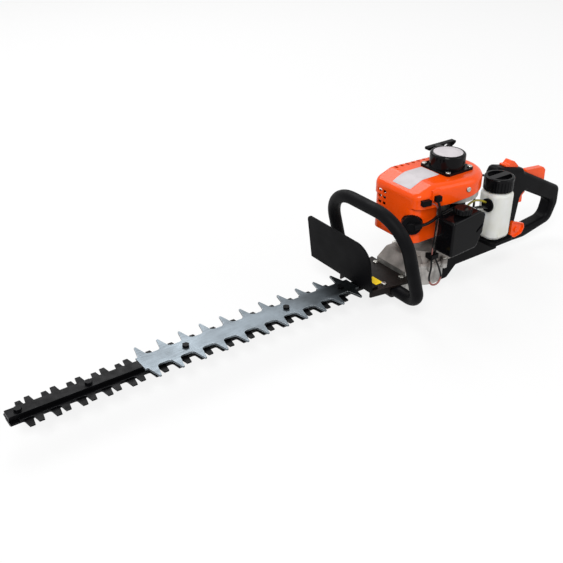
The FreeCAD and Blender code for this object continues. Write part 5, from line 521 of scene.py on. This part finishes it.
def label_stock(name, hex_colour):
    """Blank matt vinyl: flat colour with a little scuffing and a faint ripple."""
    material, tree, shader = blank_material(name)
    fill(tree, shader, {
        "Base Color": mottled(tree, 18, 4, linear(hex_colour), darker(hex_colour, 0.88), 0.45, 0.75),
        "Roughness": wandering(tree, 18, 4, 0.5, 0.65),
        "Specular IOR Level": 0.15,
        "Normal": relief(tree, clouds(tree, 2.2, 2), 0.04, 0.05),
    })
    return material


# ---------------------------------------------------------------- pieces of the frame

def node_box(name):
    """Low and high corners of a CAD node, in the machine's frame."""
    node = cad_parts[name]
    corners = np.array([node.matrix_world @ Vector(corner) for corner in node.bound_box])
    return corners.min(axis=0), corners.max(axis=0)


def give(material, *nodes):
    """Puts one material on CAD nodes."""
    for name in nodes:
        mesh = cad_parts[name].data
        mesh.materials.clear()
        mesh.materials.append(material)


# ---------------------------------------------------------------- surfaces

def mesh_piece(name, points, faces, material):
    """A smooth mesh object from an array of points and lists of corner numbers."""
    mesh = bpy.data.meshes.new(name)
    mesh.from_pydata(points.tolist(), [], faces)
    mesh.polygons.foreach_set("use_smooth", [True] * len(mesh.polygons))
    mesh.materials.append(material)
    piece = bpy.data.objects.new(name, mesh)
    bpy.context.collection.objects.link(piece)
    return piece


def closed_tube(name, rings, poles, material):
    """A mesh through rings of points along a path, with a fan of triangles to the pole at each end.

    The rings run anticlockwise for who looks back from the path's far end, so that faces point outwards.
    """
    count, around = rings.shape[:2]
    index = np.arange(count * around).reshape(count, around)
    ahead = np.roll(index, -1, axis=1)
    walls = np.stack([index[:-1], ahead[:-1], ahead[1:], index[1:]], axis=-1).reshape(-1, 4)
    near = np.stack([np.full(around, count * around), ahead[0], index[0]], axis=-1)
    far = np.stack([np.full(around, count * around + 1), index[-1], ahead[-1]], axis=-1)
    points = np.concatenate([rings.reshape(-1, 3), poles])
    return mesh_piece(name, points, walls.tolist() + near.tolist() + far.tolist(), material)


def turned(name, profile, centre, material, around=96):
    """Surface of (radius, height) pairs carried round an upright axis, with both ends on the axis.

    At angle phi a pair stands at (radius cos(phi), radius sin(phi), height) from the centre.
    """
    profile = np.array(profile)
    phi = np.linspace(0, 2 * np.pi, around, endpoint=False)
    circle = np.stack([np.cos(phi), np.sin(phi)], axis=-1)
    flat = profile[1:-1, None, :1] * circle
    heights = np.broadcast_to(profile[1:-1, None, 1:], flat.shape[:2] + (1,))
    rings = np.concatenate([flat, heights], axis=-1) + np.array(centre)
    poles = np.array([[0, 0, profile[0, 1]], [0, 0, profile[-1, 1]]]) + np.array(centre)
    return closed_tube(name, rings, poles, material)


def moulded_rib(name, low, high, material, count=24, around=48):
    """Upright rib between two corners.

    At angle phi its section is (a c, b s), where c and s are the signed square roots of cos(phi) and
    sin(phi), and a and b the half widths: an oblong with rounded corners.
    """
    low, high = np.array(low), np.array(high)
    middle = (low + high) / 2
    phi = np.linspace(0, 2 * np.pi, around, endpoint=False)
    circle = np.stack([np.cos(phi), np.sin(phi)], axis=-1)
    section = np.sign(circle) * np.sqrt(np.abs(circle)) * (high - low)[:2] / 2 + middle[:2]
    heights = np.linspace(low[2], high[2], count)
    rings = np.concatenate([np.broadcast_to(section, (count, around, 2)),
                            np.broadcast_to(heights[:, None, None], (count, around, 1))], axis=-1)
    poles = np.array([[*middle[:2], low[2]], [*middle[:2], high[2]]])
    return closed_tube(name, rings, poles, material)


def laid_rope(name, start, length, radius, material, count=160, around=32):
    """Rope of three strands along the machine's cross axis.

    At angle phi and distance y its radius is radius (1 - depth |sin(1.5 (phi - 2 pi y / lay))|): each
    strand turns once in one lay, and the grooves between the strands are a share depth of the radius.
    """
    depth, lay = 0.14, sizes().rope_lay
    y, phi = np.meshgrid(np.linspace(0, length, count), np.linspace(0, 2 * np.pi, around, endpoint=False),
                         indexing="ij")
    reach = radius * (1 - depth * np.abs(np.sin(1.5 * (phi - 2 * np.pi * y / lay))))
    rings = np.stack([reach * np.cos(phi), y, reach * np.sin(phi)], axis=-1)
    poles = np.array([[0, 0, 0], [0, length, 0]])
    return closed_tube(name, rings[:, ::-1] + np.array(start), poles + np.array(start), material)


def label_sheet(name, node, low, high, material, rows, columns):
    """A thin sheet laid down onto a CAD node, with its corners drawn in by a power curve.

    The point at (s, t), each from -1 to 1, stands at the middle plus s (a - p) and t (b - p), where a and
    b are the half lengths and p is the bow times (s t) to the power 8. It then falls onto the node.
    """
    size = sizes()
    low, high = np.array(low), np.array(high)
    middle, half = (low + high) / 2, (high - low) / 2
    s, t = np.meshgrid(np.linspace(-1, 1, rows), np.linspace(-1, 1, columns), indexing="ij")
    drawn_in = (s * t) ** 8 * size.label_bow
    above = node_box(node)[1][2] + 10 * MM
    points = np.stack([middle[0] + s * (half[0] - drawn_in), middle[1] + t * (half[1] - drawn_in),
                       np.full_like(s, above)], axis=-1).reshape(-1, 3)
    index = np.arange(rows * columns).reshape(rows, columns)
    quads = np.stack([index[:-1, :-1], index[1:, :-1], index[1:, 1:], index[:-1, 1:]], axis=-1)
    piece = mesh_piece(name, points, quads.reshape(-1, 4).tolist(), material)
    fall = piece.modifiers.new("Laid on", "SHRINKWRAP")
    fall.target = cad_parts[node]
    fall.wrap_method = "PROJECT"
    fall.use_project_z = True
    fall.use_negative_direction = True
    fall.use_positive_direction = False
    fall.offset = 0.3 * size.label_thick
    thick = piece.modifiers.new("Thickness", "SOLIDIFY")
    thick.thickness = size.label_thick
    thick.offset = 1
    return piece


# ---------------------------------------------------------------- operators

class TRIMMER_OT_cutting(Operator):
    """Finishes the blades, bars, tooth guard and their bolts"""

    bl_idname = "trimmer.cutting"
    bl_label = "Cutting bar"

    def execute(self, context):
        give(plated_guard(), "tooth_guard")
        give(blackened_steel("blackened_blade_steel", colours().blade, 0.3),
             "upper_blade", "lower_blade", "upper_yoke", "lower_yoke")
        give(blackened_steel("black_oxide_bar", colours().bar, 0.12),
             "support_bar", "lower_bar", "blade_bolts", "blade_nuts")
        return {"FINISHED"}


class TRIMMER_OT_front(Operator):
    """Finishes the bracket, hand guard and loop handle"""

    bl_idname = "trimmer.front"
    bl_label = "Front handle"

    def execute(self, context):
        give(painted_steel(), "bracket_plate", "loop_clamps")
        give(moulded_black("moulded_guard_plate", rough=0.5, grain_mm=1.4, strength=0.25), "hand_guard")
        give(foam_rubber(), "loop_handle")
        give(plated_screw(), "bracket_screws", "housing_screws", "handle_screws", "spark_plug")
        return {"FINISHED"}


class TRIMMER_OT_engine(Operator):
    """Finishes the engine, its vented cover, the gear case and the orange controls"""

    bl_idname = "trimmer.engine"
    bl_label = "Engine"

    def execute(self, context):
        size = sizes()
        orange = moulded_orange()
        give(orange, "engine_cover", "throttle_trigger", "lockout_lever", "stop_switch", "latch_lever")
        rib = moulded_rib("vent_rib", size.vent_rib_low, size.vent_rib_high, orange)
        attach(rib, "machine")
        give(cast_aluminium("die_cast_aluminium", colours().casting),
             "gear_case_lower", "crankcase", "carburettor", "flywheel_fan")
        give(cast_aluminium("oiled_die_casting", colours().oiled), "gear_case_upper", "cylinder")
        give(blackened_steel("muffler_enamel", colours().muffler, 0.1),
             "muffler", "drive_gear", "clutch_drum", "clutch_shoes", "crankshaft")
        return {"FINISHED"}


class TRIMMER_OT_mouldings(Operator):
    """Finishes the black mouldings, the chassis and the tank"""

    bl_idname = "trimmer.mouldings"
    bl_label = "Mouldings and tank"

    def execute(self, context):
        give(moulded_black(), "handle_left", "handle_right", "chassis", "starter_grip", "starter_pulley")
        glossy = moulded_black("moulded_black_polypropylene", rough=0.16, grain_mm=1.6, strength=0.06,
                               shine=0.02, coat=0.16)
        give(glossy, "filter_cover", "filter_base", "filter_knob", "starter_housing", "tank_cap")
        give(foam_rubber(), "tank_grommet", "av_mounts", "plug_boot", "wire_boot", "cable_plug")
        give(moulded_black("moulded_black_connector", rough=0.35, grain_mm=0.8, strength=0.1),
             "stop_connector", "ignition_coil", "choke_lever")
        give(milky_tank(), "fuel_tank")
        return {"FINISHED"}


class TRIMMER_OT_leads(Operator):
    """Finishes the cables, wires and hoses, and lays the starter rope"""

    bl_idname = "trimmer.leads"
    bl_label = "Leads and rope"

    def execute(self, context):
        size = sizes()
        jacket = colours().jacket
        give(cable_jacket("rubber_cable_jacket", jacket), "plug_lead", "stop_cable", "throttle_cable")
        give(cable_jacket("nitrile_fuel_hose", jacket, rough=0.32), "fuel_hose")
        give(sleeved_wires("vinyl_wire_sleeve", size.wires_bare_below, size.wires_bare_above), "stop_wires")
        give(sleeved_wires("looped_wire_sleeve", size.loop_bare_below), "wire_loop")
        give(clear_hose(), "return_hose")

        nylon = cable_jacket("laid_nylon_rope", jacket, rough=0.6)
        give(nylon, "starter_rope")
        low, high = node_box("starter_rope")
        middle, width, length = (low + high) / 2, high[0] - low[0], high[1] - low[1]
        start = (middle[0], low[1], middle[2])
        rope = laid_rope("pulled_rope", start, length, width / 2, nylon)
        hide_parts("starter_rope")
        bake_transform(rope)
        return {"FINISHED"}


class TRIMMER_OT_labels(Operator):
    """Adds the blank labels of the cover, starter and bracket"""

    bl_idname = "trimmer.labels"
    bl_label = "Blank labels"

    def execute(self, context):
        size = sizes()
        white = label_stock("blank_vinyl_label", colours().label)
        sheet = label_sheet("cover_label", "engine_cover", (size.sheet_front, size.sheet_left),
                            (size.sheet_rear, size.sheet_right), white, rows=60, columns=40)
        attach(sheet, "machine")

        reach, thick = size.round_label, size.label_thick
        rim = [(reach, 0), (reach, 0.6 * thick), (reach - 0.4 * thick, thick), (reach / 2, thick)]
        seat = node_box("starter_housing")[1][2] - size.label_seat
        cap = turned("starter_label", [(0, 0), *rim, (0, thick)], (0, 0, seat + LABEL_LIFT), white)
        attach(cap, "machine")

        yellow = label_stock("blank_yellow_patch", colours().patch)
        patch = label_sheet("bracket_patch", "bracket_plate", (size.patch_front, size.patch_left),
                            (size.patch_rear, size.patch_right), yellow, rows=24, columns=24)
        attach(patch, "machine")
        return {"FINISHED"}


# ---------------------------------------------------------------- stage

def background_rays(tree):
    """1 where the camera, a glossy surface or a clear one sees the stage, and 0 where it lights the part."""
    path = add(tree, "ShaderNodeLightPath")
    seen = add(tree, "ShaderNodeMath", {0: path.outputs["Is Camera Ray"], 1: path.outputs["Is Glossy Ray"]},
               operation="MAXIMUM")
    seen = add(tree, "ShaderNodeMath", {0: seen.outputs[0], 1: path.outputs["Is Transmission Ray"]},
               operation="MAXIMUM")
    return seen.outputs[0]


def stage_paper():
    """Matt white paper: pale to the light, nearly white to the eye, with the machine's shadow kept."""
    material, tree, shader = blank_material("stage_paper")
    fill(tree, shader, {"Base Color": (0.82, 0.82, 0.82, 1), "Roughness": 0.9})
    glow = add(tree, "ShaderNodeEmission", {"Color": (1, 1, 1, 1), "Strength": 1.0})
    share = add(tree, "ShaderNodeMath", {0: background_rays(tree), 1: 0.8}, operation="MULTIPLY")
    blend = add(tree, "ShaderNodeMixShader",
                {"Fac": share.outputs[0], 1: shader.outputs["BSDF"], 2: glow.outputs["Emission"]})
    output = next(node for node in tree.nodes if node.bl_idname == "ShaderNodeOutputMaterial")
    fill(tree, output, {"Surface": blend.outputs["Shader"]})
    return material


def floor_sheet(reach, material):
    """A square sheet at the machine's foot that reaches this far each way."""
    corners = [(-reach, -reach, 0), (reach, -reach, 0), (reach, reach, 0), (-reach, reach, 0)]
    mesh = bpy.data.meshes.new("floor")
    mesh.from_pydata(corners, [], [(0, 1, 2, 3)])
    mesh.materials.append(material)
    sheet = bpy.data.objects.new("floor", mesh)
    bpy.context.collection.objects.link(sheet)
    return sheet


def soft_lamp(name, place, target, width, power):
    """A round lamp of this width and power that looks at the target."""
    lamp = bpy.data.lights.new(name, "AREA")
    lamp.shape = "DISK"
    lamp.size = width
    lamp.energy = power
    holder = bpy.data.objects.new(name, lamp)
    holder.location = place
    holder.rotation_euler = (Vector(target) - Vector(place)).to_track_quat("-Z", "Y").to_euler()
    bpy.context.collection.objects.link(holder)


def studio_world():
    """A white room: dim as a light, and white where it is seen or mirrored."""
    world = bpy.data.worlds.new("studio")
    world.use_nodes = True
    tree = world.node_tree
    tree.nodes.clear()
    strength = add(tree, "ShaderNodeMapRange", {"Value": background_rays(tree), "To Min": 0.35, "To Max": 1.0})
    back = add(tree, "ShaderNodeBackground", {"Color": (1, 1, 1, 1), "Strength": strength.outputs["Result"]})
    add(tree, "ShaderNodeOutputWorld", {"Surface": back.outputs["Background"]})
    return world


class TRIMMER_OT_stage(Operator):
    """Sets the floor, the soft lights and the camera"""

    bl_idname = "trimmer.stage"
    bl_label = "Stage"

    def execute(self, context):
        floor_sheet(6.0, stage_paper())
        centre = [(low + high) / 2 for low, high in zip(*CAD_BOX)]
        for name, place, width, power in LAMPS:
            soft_lamp(name, place, centre, width, power)
        context.scene.world = studio_world()
        size = sizes()
        lens = bpy.data.cameras.new("camera")
        lens.lens = size.camera_lens
        lens.sensor_width = 36
        camera = bpy.data.objects.new("camera", lens)
        camera.location = size.camera_place
        camera.rotation_euler = Euler((size.camera_pitch, 0, size.camera_turn))
        context.collection.objects.link(camera)
        context.scene.camera = camera
        context.scene.view_settings.view_transform = "Standard"
        return {"FINISHED"}


class TRIMMER_PT_panel(Panel):
    """Lists the machine's pieces, colours and sizes in the sidebar"""

    bl_label = "Hedge trimmer"
    bl_idname = "TRIMMER_PT_panel"
    bl_space_type = "VIEW_3D"
    bl_region_type = "UI"
    bl_category = "Trimmer"

    def draw(self, context):
        for operator in PIECES:
            self.layout.operator(operator.bl_idname)
        for group in (context.scene.trimmer_colours, context.scene.trimmer_sizes):
            for prop in group.__annotations__:
                self.layout.prop(group, prop)


PIECES = (
    TRIMMER_OT_cutting,
    TRIMMER_OT_front,
    TRIMMER_OT_engine,
    TRIMMER_OT_mouldings,
    TRIMMER_OT_leads,
    TRIMMER_OT_labels,
    TRIMMER_OT_stage,
)
CLASSES = (TrimmerColours, TrimmerSizes) + PIECES + (TRIMMER_PT_panel,)


def register():
    """Registers the classes and hangs the settings on the scene."""
    for item in CLASSES:
        bpy.utils.register_class(item)
    bpy.types.Scene.trimmer_colours = PointerProperty(type=TrimmerColours)
    bpy.types.Scene.trimmer_sizes = PointerProperty(type=TrimmerSizes)


def unregister():
    """Takes the settings and classes away again."""
    del bpy.types.Scene.trimmer_sizes
    del bpy.types.Scene.trimmer_colours
    for item in reversed(CLASSES):
        bpy.utils.unregister_class(item)


def main():
    """Dresses the machine piece by piece."""
    register()
    for operator in PIECES:
        group, name = operator.bl_idname.split(".")
        getattr(getattr(bpy.ops, group), name)()


if __name__ == "__main__":
    main()
